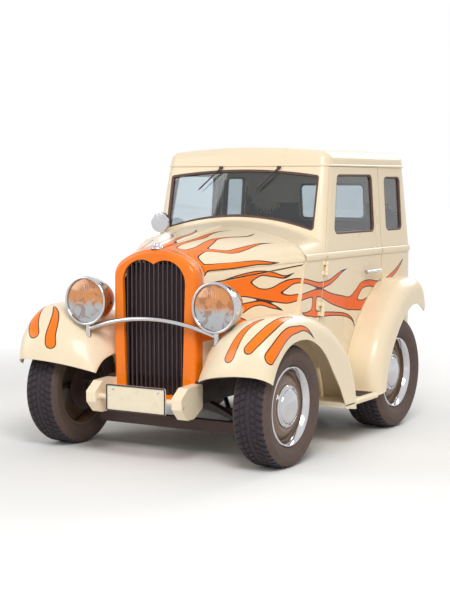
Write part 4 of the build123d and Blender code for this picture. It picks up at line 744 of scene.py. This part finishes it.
def front_inner(y, z):
    """Where a front fender meets the car: the hood's side, then the cowl's."""
    hood_half = NOSE_ARCH[0] + (y - NOSE_Y) * (COWL_HALF - NOSE_ARCH[0]) / (COWL_Y - NOSE_Y)
    return np.where(y > raked(COWL_Y, z), body_half(y), hood_half) - SEAM


def rear_inner(y, z):
    """Where a rear fender meets the car: the body's side."""
    return body_half(y) - SEAM


# Teardrops: rows of crest length about the axle, distance across from the crest, and half-width, in metres
TEARDROPS = [
    [(1.214, -0.147, 0.031), (1.167, -0.135, 0.029), (1.086, -0.121, 0.025), (1.021, -0.098, 0.019),
     (0.970, -0.061, 0.010), (0.935, -0.020, -0.003)],
    [(1.171, -0.028, 0.031), (1.110, 0.005, 0.031), (1.025, 0.035, 0.027), (0.932, 0.050, 0.019),
     (0.833, 0.048, 0.010), (0.755, 0.055, -0.003)],
    [(1.190, 0.098, 0.031), (1.101, 0.123, 0.033), (0.974, 0.133, 0.029), (0.847, 0.129, 0.020),
     (0.711, 0.133, 0.011), (0.537, 0.190, -0.003)],
]
PLAIN = 0.1
for axle, table, inner_edge, finish in (("front", FRONT_FENDER, front_inner, flame_lacquer),
                                        ("rear", REAR_FENDER, rear_inner, cream_lacquer)):
    axle_y, axle_z = TYRE_SIZES[axle][1:3]
    outer, place = fender_sheet(table, axle_y, axle_z, inner_edge, 0.0)
    inner = fender_sheet(table, axle_y, axle_z, inner_edge, SHEET)[0]
    points = np.concatenate([outer, inner[:, ::-1]], 1)
    mark = licks_field(place.reshape(-1, 2), TEARDROPS).reshape(place.shape[:2])
    mark = np.concatenate([mark, np.full(mark.shape, PLAIN)], 1)
    for hand, side in HANDS:
        fender = make_piece(axle + "_fender_" + hand, points * [side, 1, 1], fender_faces(*points.shape[:2]),
                            finish, "chassis", closed=True, sharp=50.0, lick=mark)
        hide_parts(axle + "_fenders")

# Grille shell, bars and cap
# A deep steel shell in orange lacquer round upright steel bars in dark enamel, with a chromed
# filler cap on its crest; it bolts to the radiator.


def smoothed(node, material, sharp, body="chassis", edge=0.0):
    """A copy of a CAD piece that stands in for it: welded, its edges broken by a small round where one is
    given, and shaded smooth across edges under the sharp angle."""
    work = bmesh.new()
    work.from_mesh(nodes[node].data)
    bmesh.ops.remove_doubles(work, verts=work.verts, dist=1e-6)
    mesh = bpy.data.meshes.new(node + "_finished")
    work.to_mesh(mesh)
    work.free()
    mesh.shade_smooth()
    mesh.set_sharp_from_angle(angle=np.radians(sharp))
    mesh.materials.clear()
    mesh.materials.append(material)
    piece = bpy.data.objects.new(node + "_finished", mesh)
    bpy.context.scene.collection.objects.link(piece)
    if edge:
        broken = piece.modifiers.new("broken", "BEVEL")
        broken.width = edge
        broken.segments = 4
        broken.limit_method = "ANGLE"
        broken.angle_limit = np.radians(sharp)
    even = piece.modifiers.new("even", "WEIGHTED_NORMAL")
    even.keep_sharp = True
    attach(piece, body)
    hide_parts(node)


# Orange lacquer: the flames' colour in full coats, glossy, with broad yellower patches of
# painted highlight.
orange_lacquer, tree, shader = new_finish("orange_lacquer", IOR=1.5, Specular_IOR_Level=0.35,
                                          Coat_Weight=0.3, Coat_Roughness=0.05)
# The yellower patches are painted highlight.
mottle(tree, shader, 260, "#F46F00", "#FF8A08", (0.24, 0.32), 0.05)
# Bar enamel: dipped and stoved, dark brown, satin.
bar_enamel, tree, shader = new_finish("bar_enamel", IOR=1.5)
mottle(tree, shader, 60, "#33242A", "#4A363A", (0.35, 0.5), 0.04)
smoothed("grille_shell", orange_lacquer, 24.0)
dress(bar_enamel, "grille_bars")
smoothed("radiator_cap", chrome_plate, 30.0)

# Headlamps
# Spun steel bowls, chromed, with a rolled bezel that holds a domed and fluted glass painted
# with an amber and pale reflection; each stands on the chromed bar that arches between the fenders.
LAMP_X, LAMP_Z, LAMP_FRONT = 0.430, 0.875, -1.108
GLASS_R, GLASS_RINGS = 0.1248, 30
FLUTE, FLUTE_DEEP = 0.0125, 0.0011


def turned_on_y(section, x, z, count=72):
    """A (radius, place along the car) section turned about a line along the car."""
    angle = np.linspace(0, 2 * np.pi, count, endpoint=False)[:, None]
    r, off = section[:, 0][None], section[:, 1][None]
    along = np.broadcast_to(off, (count, len(section)))
    return np.stack([x + r * np.cos(angle), along, z + r * np.sin(angle)], -1)


# Lens glass: pressed, glossy and a little clear over the chromed reflector; its colour is a painted
# reflection, amber above a wavy line and pale below, with dark swirls.
lens_glass, tree, shader = new_finish("lens_glass", IOR=1.5, Roughness=0.06, Transmission_Weight=0.25,
                                      Coat_Weight=0.8, Coat_Roughness=0.03)
place = add(tree, "TexCoord")
height = add(tree, "SeparateXYZ", {"Vector": place.outputs["Object"]})
swirl = add(tree, "TexNoise", {"Vector": place.outputs["Object"], "Scale": 1000 / 70, "Detail": 2.0,
                               "Distortion": 1.2})
level = add(tree, "Math", {0: swirl.outputs["Fac"], 1: 0.09, 2: height.outputs["Z"]},
            operation="MULTIPLY_ADD")
part = add(tree, "MapRange", {"Value": level.outputs[0], "From Min": 0.885, "From Max": 0.925})
reflection_halves = add(tree, "Mix", {"Factor": part.outputs["Result"], "A": srgb("#C7CDD0"), "B": srgb("#E89A52")},
            data_type="RGBA")
# Dark swirls of painted reflection over both halves.
shade = add(tree, "MapRange", {"Value": swirl.outputs["Fac"], "From Min": 0.52, "From Max": 0.60,
                               "To Max": 0.55})
painted_reflection = add(tree, "Mix", {"Factor": shade.outputs["Result"], "A": reflection_halves.outputs["Result"],
                          "B": srgb("#9A5733")}, data_type="RGBA")
tree.links.new(painted_reflection.outputs["Result"], shader.inputs["Base Color"])

# Sections from the lamp's front: the reflector's disc, the bezel and the bowl, then the glass
bezel = arc_through((0.1262, 0.001), (0.1335, -0.0075), (0.1405, 0.004), 11)
bowl = arc_through((0.138, 0.026), (0.1104, 0.129), (0.024, 0.235), 26)
shell = np.concatenate([[(0.0, 0.014), (0.126, 0.014)], bezel, [(0.1405, 0.018), (0.1385, 0.020)], bowl,
                        [(0.0, 0.235)]]) + [0, LAMP_FRONT]
out = np.linspace(0, 1, GLASS_RINGS)
dome = np.stack([GLASS_R * out, 0.017 * out ** 2 - 0.014], 1)
glass = np.concatenate([dome, [(GLASS_R, 0.013), (0.0, 0.013)]]) + [0, LAMP_FRONT]
for hand, side in HANDS:
    points = turned_on_y(shell, side * LAMP_X, LAMP_Z)
    lamp = ring_piece("headlamp_bowl_" + hand, points, chrome_plate, "chassis", 32.0)
    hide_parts("headlamp_shells")
    points = turned_on_y(glass, side * LAMP_X, LAMP_Z, 160)
    across = points[:, :GLASS_RINGS, 0] - side * LAMP_X
    points[:, :GLASS_RINGS, 1] += FLUTE_DEEP * np.cos(2 * np.pi * across / FLUTE) * (1 - out ** 6)
    lens = ring_piece("headlamp_glass_" + hand, points, lens_glass, "chassis", 50.0)
    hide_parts("headlamp_lenses")
smoothed("headlamp_bar", chrome_plate, 30.0)

# Frame horns and plate
# Pressed covers over the frame's ends, in the body's cream, and a blank enamelled plate in a
# dark rim, bolted between them.
smoothed("frame_horns", cream_lacquer, 30.0, edge=0.012)
# Plate enamel: fired on steel, cream, glossy, a little worn.
plate_enamel, tree, shader = new_finish("plate_enamel", IOR=1.5, Coat_Weight=0.3)
mottle(tree, shader, 45, "#E9DBBB", "#F3E8CF", (0.25, 0.4), 0.04)
dress(plate_enamel, "number_plate")
box = np.array(nodes["number_plate"].bound_box)
(left, front, low), (right, _, high) = box.min(0), box.max(0)
PLATE_ROUND = 0.012
# The rim's section: how far in from the plate's edge, and how far out from its face
RIM_SECTION = ((0.0004, -0.001), (0.0004, 0.0025), (0.002, 0.004), (0.006, 0.004), (0.008, 0.0025),
               (0.008, -0.001))


def plate_loop(inset, out):
    """The plate's outline in front view, drawn in by an inset, with round corners, and moved out."""
    angle = np.radians(np.linspace(0, 90, 8)[None] + np.array([[180], [270], [0], [90]]))
    radius = PLATE_ROUND - inset
    x = np.array([left, right, right, left]) + np.array([1, -1, -1, 1]) * (inset + radius)
    z = np.array([low, low, high, high]) + np.array([1, 1, -1, -1]) * (inset + radius)
    x, z = (x[:, None] + radius * np.cos(angle)).ravel(), (z[:, None] + radius * np.sin(angle)).ravel()
    return np.stack([x, front - out + 0 * x, z], 1)


points = np.stack([plate_loop(inset, out) for inset, out in RIM_SECTION])
rim = ring_piece("plate_rim", points, bar_enamel, "chassis", 50.0)
BOLT_X, BOLT_UP = 0.150, 0.050
bolt = np.array([(0.0, -0.0045), (0.004, -0.0042), (0.0065, -0.0030), (0.0075, 0.0005), (0.0, 0.0005)])
for hand, side in HANDS:
    points = turned_on_y(bolt + [0, front], side * BOLT_X, 0.5 * (low + high) + BOLT_UP, 20)
    head = ring_piece("plate_bolt_" + hand, points, chrome_plate, "chassis")

# Belt moulding and drip rail
# A rounded bead rolled into the steel along hood, cowl, doors and back, and a folded rail that
# keeps the roof's rain off the doors; both in the body's cream, with the flame over the bead's nose.
BEAD_W, BEAD_OUT, BEAD_FALL = 0.021, 0.009, 0.040
# Bands of skin that the bead is raised from: their low edge and grid on hood and cowl, and their heights
# on doors and back
BAND_LOW, BAND_COUNTS = 0.90, (30, 130, 4)
BAND_HEIGHTS = np.linspace(1.085, 1.140, 23)
RAIL_R = 0.0065


def bead_line(y):
    """Height of the bead's middle: level with the belt on the body, falling along the hood to the nose."""
    return BELT - BEAD_FALL * np.clip((COWL_Y - y) / (COWL_Y - NOSE_Y), 0, 1)


def bead_rows(base, lifted):
    """A full-edged round raised off a skin and trimmed out of its grid: its share of the way to the lifted
    skin is one less the square of the distance from its middle, to the power of 0.3."""
    from_middle = (base[..., 3] - bead_line(base[..., 1])) / BEAD_W
    share = np.clip(1 - from_middle ** 2, 0, 1)[..., None] ** 0.3
    grid = base + (lifted - base) * share * [1, 1, 1, 0]
    return trim(grid.reshape(-1, 4), triangles(*grid.shape[:2]), np.abs(from_middle.ravel()) - 0.999)


y = np.linspace(NOSE_Y + LID_GAP, -0.345, 70)
base, lifted = [hood_rows(y, lift, BAND_LOW, BAND_COUNTS) for lift in (SKIN, SKIN + BEAD_OUT)]
rows, faces = bead_rows(base, lifted)
rows, faces = trim(rows, faces, rows[:, 1] - raked(COWL_Y - LID_GAP, rows[:, 2]))
painted("hood_bead", rows, faces, "hood_HAND")

y = np.linspace(-0.370, 0.0, 50)
base, lifted = [cowl_rows(y, lift, BAND_LOW, BAND_COUNTS) for lift in (SKIN, SKIN + BEAD_OUT)]
rows, faces = bead_rows(base, lifted)
rows, faces = trim(rows, faces, raked(COWL_Y + SEAM, rows[:, 2]) - rows[:, 1])
rows, faces = trim(rows, faces, rows[:, 1] - raked(DOOR_Y - DOOR_GAP, rows[:, 2]))
painted("cowl_bead", rows, faces, "chassis")

y, z = np.meshgrid(np.linspace(-0.13, 0.655, 80), BAND_HEIGHTS, indexing="ij")
base = np.stack([side_x(y, z) + SKIN, y, z, z], -1)
rows, faces = bead_rows(base, base + [BEAD_OUT, 0, 0, 0])
rows, faces = trim(rows, faces, in_outline(rows[:, 1:3], DOOR) + DOOR_EDGE)
painted("door_bead", rows, faces, "door_HAND")

base, lifted = [round_back(BAND_HEIGHTS, 0.657, 0.0, lift, (40, 28, 20))
                for lift in (SKIN, SKIN + BEAD_OUT)]
rows, faces = bead_rows(base, lifted)
painted("back_bead", rows, faces[:, ::-1], "chassis")


def tube(path, radius, sides=12):
    """A round section carried along a closed path: at each point a circle in the plane across the path."""
    step = np.roll(path, -1, 0) - np.roll(path, 1, 0)
    step = step / np.linalg.norm(step, axis=1, keepdims=True)
    up = np.array([0.0, 0.0, 1.0]) - step * step[:, 2:]
    up = up / np.linalg.norm(up, axis=1, keepdims=True)
    out = np.cross(step, up)
    angle = np.linspace(0, 2 * np.pi, sides, endpoint=False)[None, :, None]
    return path[:, None] + radius * (np.cos(angle) * out[:, None] + np.sin(angle) * up[:, None])


rail = roof_surface(4, SKIN)[0]
rail[:, 2] = DRIP + SEAM
drip = ring_piece("drip_rail", tube(rail, RAIL_R), cream_lacquer, "chassis", 60.0)

# Windows
# Toughened plate glass in brown rubber channels, fixed in the roof's frame and in the doors;
# the windscreen's channel follows its arched opening.
BACK_WINDOW = [(-0.25, 1.29), (0.25, 1.29), (0.25, 1.54), (-0.25, 1.54)]
# The windscreen's opening: half-width, height of its sill and head at the ends, how far each arches, and
# the channel's clearance in it
SCREEN_HALF, SCREEN_SILL, SCREEN_HEAD = 0.525, 1.256, 1.592
SILL_ARCH, HEAD_ARCH, SCREEN_FIT = 0.080, 0.036, 0.002
# A channel's section: how far in from the opening's edge, and how deep under the skin
CHANNEL = ((-0.0005, 0.003), (0.010, 0.003), (0.014, 0.007), (0.014, 0.024), (-0.0005, 0.024))
# Window glass: faintly blue-grey, polished, with a slow wave from the drawing of the sheet.
window_glass, tree, shader = new_finish("window_glass", IOR=1.5, Roughness=0.015, Transmission_Weight=1.0)
mottle(tree, shader, 300, "#C9D3D8", "#D6DEE2", None, 0.06, 1.0)
dress(window_glass, "body_glass", "door_glass_left", "door_glass_right")
# Channel rubber: extruded, brown, satin.
channel_rubber, tree, shader = new_finish("channel_rubber", IOR=1.5)
mottle(tree, shader, 25, "#4C342E", "#654840", (0.45, 0.6), 0.06)


def rounded_loop(corners, radius, inset, count=10):
    """A polygon's outline drawn in by an inset, each corner an arc of the radius less the inset."""
    a = np.asarray(corners, float)
    before, after = a - np.roll(a, 1, 0), np.roll(a, -1, 0) - a
    before, after = [v / np.linalg.norm(v, axis=1, keepdims=True) for v in (before, after)]
    middle = a.mean(0)
    side_a, side_b = [np.stack([-v[:, 1], v[:, 0]], 1) for v in (before, after)]
    sign = np.sign(((middle - a) * side_a).sum(1))[:, None]
    side_a, side_b = sign * side_a, sign * side_b
    centre = a + radius * (side_a + side_b) / (1 + (side_a * side_b).sum(1))[:, None]
    start, end = np.arctan2(-side_a[:, 1], -side_a[:, 0]), np.arctan2(-side_b[:, 1], -side_b[:, 0])
    sweep = (end - start + np.pi) % (2 * np.pi) - np.pi
    angle = start[:, None] + sweep[:, None] * np.linspace(0, 1, count)[None]
    reach = radius - inset
    return (centre[:, None] + reach * np.stack([np.cos(angle), np.sin(angle)], -1)).reshape(-1, 2)


def side_loop(corners, side, inset, depth):
    """A side window's outline, drawn in and set under the body's skin."""
    y, z = rounded_loop(corners, WINDOW_ROUND, inset).T
    return np.stack([side * (side_x(y, z) - depth), y, z], 1)


def screen_loop(inset, depth):
    """The windscreen's outline, drawn in and set back: an arched sill, upright ends and an arched head."""
    half, across = SCREEN_HALF - inset, np.linspace(-1, 1, 40)
    low = SCREEN_SILL + inset + SILL_ARCH * (1 - across ** 2)
    high = SCREEN_HEAD - inset + HEAD_ARCH * (1 - across ** 2)
    end = np.linspace(0, 1, 8)[1:-1]
    x = np.concatenate([half * across, half + 0 * end, half * across[::-1], -half + 0 * end])
    left, right = low[-1] + (high[-1] - low[-1]) * end, high[0] + (low[0] - high[0]) * end
    z = np.concatenate([low, left, high[::-1], right])
    return np.stack([x, raked(SCREEN_Y, z) + depth, z], 1)


def back_loop(inset, depth):
    """The back window's outline, drawn in and set under the leaning back."""
    x, z = rounded_loop(BACK_WINDOW, WINDOW_ROUND, inset).T
    return np.stack([x, REAR_Y - LEAN_BACK * (z - BELT) / (ROOF - BELT) - depth, z], 1)


def channel_piece(name, loops, body):
    """A rubber channel from the loops of its section's corners."""
    channel = ring_piece(name, np.stack(loops), channel_rubber, body)


for hand, side in HANDS:
    channel_piece("door_window_channel_" + hand, [side_loop(DOOR_WINDOW, side, *spot) for spot in CHANNEL],
                  "door_" + hand)
    channel_piece("quarter_window_channel_" + hand,
                  [side_loop(QUARTER_WINDOW, side, *spot) for spot in CHANNEL], "chassis")
channel_piece("windscreen_channel",
              [screen_loop(inset + SCREEN_FIT, depth) for inset, depth in CHANNEL], "chassis")
channel_piece("back_window_channel", [back_loop(*spot) for spot in CHANNEL], "chassis")

# Fittings
# Wipers and their arms in dark steel, a chromed mirror, handles and tail lamp rims, cream
# hinges, and boards in cream with ribbed rubber mats.
TAIL_X, TAIL_Z = 0.345, 0.650
MAT_RIB, MAT_LOW, MAT_TOP, RIB_HIGH = 0.0165, 0.277, 0.2805, 0.003
# Ruby glass: pressed, dyed in the melt, clear red.
ruby_glass, tree, shader = new_finish("ruby_glass", IOR=1.5, Roughness=0.08, Transmission_Weight=0.4,
                                      Coat_Weight=0.6)
mottle(tree, shader, 18, "#8E0F12", "#B3181A", None, 0.25, 1.0)
# Mat rubber: moulded black-brown, matt.
mat_rubber, tree, shader = new_finish("mat_rubber", IOR=1.5)
mottle(tree, shader, 12, "#2B2122", "#40312F", (0.6, 0.8), 0.15)
dress(bar_enamel, "wipers")
smoothed("mirror", chrome_plate, 30.0)
smoothed("tail_lamps", ruby_glass, 30.0)
dress(cream_lacquer, "door_hinges", "running_boards")
hoop = np.array([(0.0445, 0.0002), (0.0445, 0.0120), (0.0470, 0.0145), (0.0510, 0.0135), (0.0535, 0.0090),
                 (0.0535, 0.0002)]) + [0, REAR_Y]
for hand, side in HANDS:
    ring = ring_piece("tail_lamp_ring_" + hand, turned_on_y(hoop, side * TAIL_X, TAIL_Z, 48), chrome_plate,
                      "chassis")
for hand, side in HANDS:
    smoothed("door_handle_" + hand, chrome_plate, 30.0, "door_" + hand)
x, y = np.meshgrid(np.linspace(0.614, 0.810, 99), np.linspace(-0.068, 0.133, 30), indexing="ij")
rib = np.clip(0.5 + 1.2 * np.cos(2 * np.pi * (x - 0.612) / MAT_RIB), 0, 1)
top = np.stack([x, y, MAT_TOP + RIB_HIGH * rib], -1)
top[[0, -1], :, 2] = MAT_LOW
top[:, [0, -1], 2] = MAT_LOW
for hand, side in HANDS:
    mat = make_piece("board_mat_" + hand, top * [side, 1, 1], grid_faces(*x.shape)[:, ::-side], mat_rubber,
                     "chassis", sharp=40.0)

# Seats
# Two bench seats: horsehair and sprung cushions under brown leather, pleated from front to
# back, piped round the edge and tacked to a wooden base on the floor.
FLOOR_TOP, SEAT_TOP = 0.5655, 0.734
BENCH_HALF, PLEAT, PLEAT_DEEP, SWELL = 0.4945, 0.083, 0.014, 0.012
# Each cushion: name, front and back edge, top, and whether its pleats are on an upright face
CUSHIONS = (("front_cushion", 0.2405, 0.6395, SEAT_TOP, False), ("front_back", 0.641, 0.735, 1.249, True),
            ("rear_cushion", 0.7905, 1.0895, SEAT_TOP, False), ("rear_back", 1.091, 1.185, 1.199, True))


def bench_cushion(half, y0, y1, z0, z1, upright):
    """A rounded box from a superellipse in plan and in section, flat below, with its crown sewn into pleats:
    each pleat is a half wave across the car, deep where two pleats meet, and fades at the cushion's sides."""
    up, out = np.meshgrid(np.linspace(-np.pi / 2, np.pi / 2, 49),
                          np.linspace(0, 2 * np.pi, 360, endpoint=False), indexing="ij")

    def power(value, exponent):
        return np.sign(value) * np.abs(value) ** exponent

    x = half * power(np.cos(up), 0.22) * power(np.cos(out), 0.10)
    y = power(np.cos(up), 0.22) * power(np.sin(out), 0.22)
    z = power(np.sin(up), 0.30)
    seam = np.abs(np.sin(np.pi * (x + half) / PLEAT)) ** 0.5
    edge = np.clip((half - np.abs(x)) / 0.06, 0, 1)
    middle_y, middle_z = 0.5 * (y0 + y1), 0.5 * (z0 + z1)
    if upright:
        face = np.clip(-y, 0, 1) ** 2 * np.clip((1 - np.abs(z)) / 0.2, 0, 1) * edge
        y = middle_y + 0.5 * (y1 - y0) * y + PLEAT_DEEP * face * (1 - seam)
        z = middle_z + 0.5 * (z1 - z0) * z
    else:
        face = np.clip(z, 0, 1) ** 2 * np.clip((1 - np.abs(y)) / 0.2, 0, 1) * edge
        swell = SWELL * (1 - y ** 2) * np.clip(z, 0, 1)
        z = middle_z + 0.5 * (z1 - z0) * z - SWELL + swell - PLEAT_DEEP * face * (1 - seam)
        y = middle_y + 0.5 * (y1 - y0) * y
    return np.stack([x, y, np.maximum(z, z0)], -1)


# Seat leather: tanned cowhide, oiled, brown, with a fine grain and darker wear.
seat_leather, tree, shader = new_finish("seat_leather", IOR=1.5, Coat_Weight=0.1, Coat_Roughness=0.4)
mottle(tree, shader, 9, "#54301F", "#6F452F", (0.42, 0.58), 0.25)
for name, y0, y1, z1, upright in CUSHIONS:
    points = bench_cushion(BENCH_HALF, y0, y1, FLOOR_TOP, z1, upright)
    cushion = make_piece("bench_" + name, points, grid_faces(*points.shape[:2], False, True), seat_leather,
                         "chassis", closed=True, sharp=60.0)
    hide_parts("seats")

# Cabin lining
# Door cards, quarter trims and a headlining: brown wool cloth over board, tacked to the
# frame a hair inside the steel.
# How far the lining lies inside the body's outside, how far it stops outside a window, and its low edge
LINING, LINING_GAP, LINING_LOW = 0.0335, 0.006, 0.60
# Lining cloth: woven wool, dark brown, matt, with a visible nap.
lining_cloth, tree, shader = new_finish("lining_cloth", IOR=1.4, Sheen_Weight=0.2)
mottle(tree, shader, 6, "#2B191E", "#3A252A", (0.8, 0.95), 0.3)
y, z = np.meshgrid(np.linspace(-0.10, 0.643, 60), np.linspace(LINING_LOW, 1.636, 90), indexing="ij")
rows = np.stack([side_x(y, z) - LINING, y, z], -1).reshape(-1, 3)
rows, faces = trim(rows, triangles(*y.shape), in_outline(rows[:, 1:3], DOOR) + 2 * LINING_GAP)
rows, faces = trim(rows, faces, LINING_GAP - in_outline(rows[:, 1:3], DOOR_WINDOW, WINDOW_ROUND))
for hand, side in HANDS:
    card = make_piece("door_card_" + hand, rows * [side, 1, 1], faces[:, ::side], lining_cloth,
                      "door_" + hand, sharp=50.0)
points = roof_surface(10, -LINING)
faces = grid_faces(*points.shape[:2], False, True)[:, ::-1]
headlining = make_piece("headlining", points, faces, lining_cloth, "chassis", sharp=50.0)
grid = round_back(np.linspace(LINING_LOW, 1.645, 90), 0.662, 0.0, -LINING, (30, 20, 30))
rows, faces = grid[..., :3].reshape(-1, 3), triangles(*grid.shape[:2])
rows, faces = trim(rows, faces, LINING_GAP - in_outline(rows[:, 1:3], QUARTER_WINDOW, WINDOW_ROUND))
back_window = in_outline(rows[:, [0, 2]], BACK_WINDOW, WINDOW_ROUND) - LINING_GAP
rows, faces = trim(rows, faces, -np.maximum(back_window, 1.1 - rows[:, 1]))
rows, faces = trim(rows, faces, past_wheel(rows, "rear", 0.380))
for hand, side in HANDS:
    lining = make_piece("quarter_lining_" + hand, rows * [side, 1, 1], faces[:, ::-side], lining_cloth,
                        "chassis", sharp=50.0)

# Dashboard and steering wheel
# A painted steel dashboard with two round gauges under glass, and a bakelite rim on sprung
# steel spokes.
# Cabin enamel: sprayed dark brown, satin.
cabin_enamel, tree, shader = new_finish("cabin_enamel", IOR=1.5)
mottle(tree, shader, 70, "#2C1A20", "#3B262B", (0.35, 0.5), 0.05)
dress(cabin_enamel, "dashboard")
# Bakelite: moulded, near black, polished by hands.
bakelite, tree, shader = new_finish("bakelite", IOR=1.6)
mottle(tree, shader, 30, "#1E1214", "#34211F", (0.2, 0.35), 0.04)
smoothed("steering_wheel", bakelite, 40.0, "steering_wheel")

# Floor, light and camera
# A plain pale studio: a matt floor under the car, a white surround, three soft boxes and
# the camera at the drawing's three-quarter angle.
FLOOR = 60.0
mesh = bpy.data.meshes.new("studio_floor")
mesh.from_pydata([(-FLOOR, -FLOOR, 0), (FLOOR, -FLOOR, 0), (FLOOR, FLOOR, 0), (-FLOOR, FLOOR, 0)], [],
                 [(0, 1, 2, 3)])
studio_floor = bpy.data.objects.new("studio_floor", mesh)
bpy.context.scene.collection.objects.link(studio_floor)
# Floor paint: matt and even, with the faintest cloudiness; some metres out it glows as white as the
# surround.
floor_paint, tree, shader = new_finish("floor_paint", Roughness=0.85, Specular_IOR_Level=0.2,
                                       Emission_Color=srgb("#FFFFFF"))
noise, tint = mottle(tree, shader, 900, "#F1F0EE", "#F6F5F3")
place = add(tree, "TexCoord")
distance = add(tree, "VectorMath", {0: place.outputs["Object"]}, operation="LENGTH")
far = add(tree, "MapRange", {"Value": distance.outputs["Value"], "From Min": 2.2, "From Max": 5.5},
          interpolation_type="SMOOTHSTEP")
fade = add(tree, "Mix", {"Factor": far.outputs["Result"], "A": tint.outputs["Result"], "B": srgb("#000000")},
           data_type="RGBA")
tree.links.new(fade.outputs["Result"], shader.inputs["Base Color"])
path = add(tree, "LightPath")
seen = add(tree, "Math", {0: path.outputs["Is Camera Ray"], 1: path.outputs["Is Glossy Ray"]},
           operation="MAXIMUM")
seen = add(tree, "Math", {0: seen.outputs[0], 1: path.outputs["Is Transmission Ray"]}, operation="MAXIMUM")
glow = add(tree, "Math", {0: seen.outputs[0], 1: far.outputs["Result"]}, operation="MULTIPLY")
tree.links.new(glow.outputs[0], shader.inputs["Emission Strength"])
mesh.materials.append(floor_paint)

world = bpy.data.worlds.new("studio_surround")
bpy.context.scene.world = world
world.use_nodes = True
tree = world.node_tree
tree.nodes.clear()
path = add(tree, "LightPath")
seen = add(tree, "Math", {0: path.outputs["Is Camera Ray"], 1: path.outputs["Is Glossy Ray"]},
           operation="MAXIMUM")
seen = add(tree, "Math", {0: seen.outputs[0], 1: path.outputs["Is Transmission Ray"]}, operation="MAXIMUM")
strength = add(tree, "MapRange", {"Value": seen.outputs[0], "To Min": 0.5, "To Max": 1.0})
surround = add(tree, "Background", {"Color": srgb("#FFFFFF"), "Strength": strength.outputs["Result"]})
add(tree, "OutputWorld", {"Surface": surround.outputs[0]})

# Soft boxes: name, place, aim, size and power in watts
for name, place, aim, size, power in (
    ("key_box", (3.2, -4.6, 5.2), (0.0, 0.0, 0.7), 2.6, 260.0),
    ("fill_box", (-4.8, -4.2, 3.0), (0.0, -0.2, 0.7), 3.2, 90.0),
    ("back_box", (1.0, 5.0, 4.4), (0.0, 0.2, 0.9), 3.0, 130.0),
):
    lamp = bpy.data.lights.new(name, "AREA")
    lamp.size = size
    lamp.energy = power
    lamp_object = bpy.data.objects.new(name, lamp)
    bpy.context.scene.collection.objects.link(lamp_object)
    lamp_object.location = place
    lamp_object.rotation_euler = (Vector(aim) - Vector(place)).to_track_quat("-Z", "Y").to_euler()

CAMERA_PLACE, CAMERA_AIM = Vector((4.191, -7.313, 1.562)), Vector((0.0, -0.267, 0.835))
camera_data = bpy.data.cameras.new("camera")
camera_data.lens = 81.06
camera_data.sensor_width = 36.0
camera = bpy.data.objects.new("camera", camera_data)
bpy.context.scene.collection.objects.link(camera)
camera.location = CAMERA_PLACE
camera.rotation_euler = (CAMERA_AIM - CAMERA_PLACE).to_track_quat("-Z", "Y").to_euler()
bpy.context.scene.camera = camera
bpy.context.scene.view_settings.view_transform = "Standard"
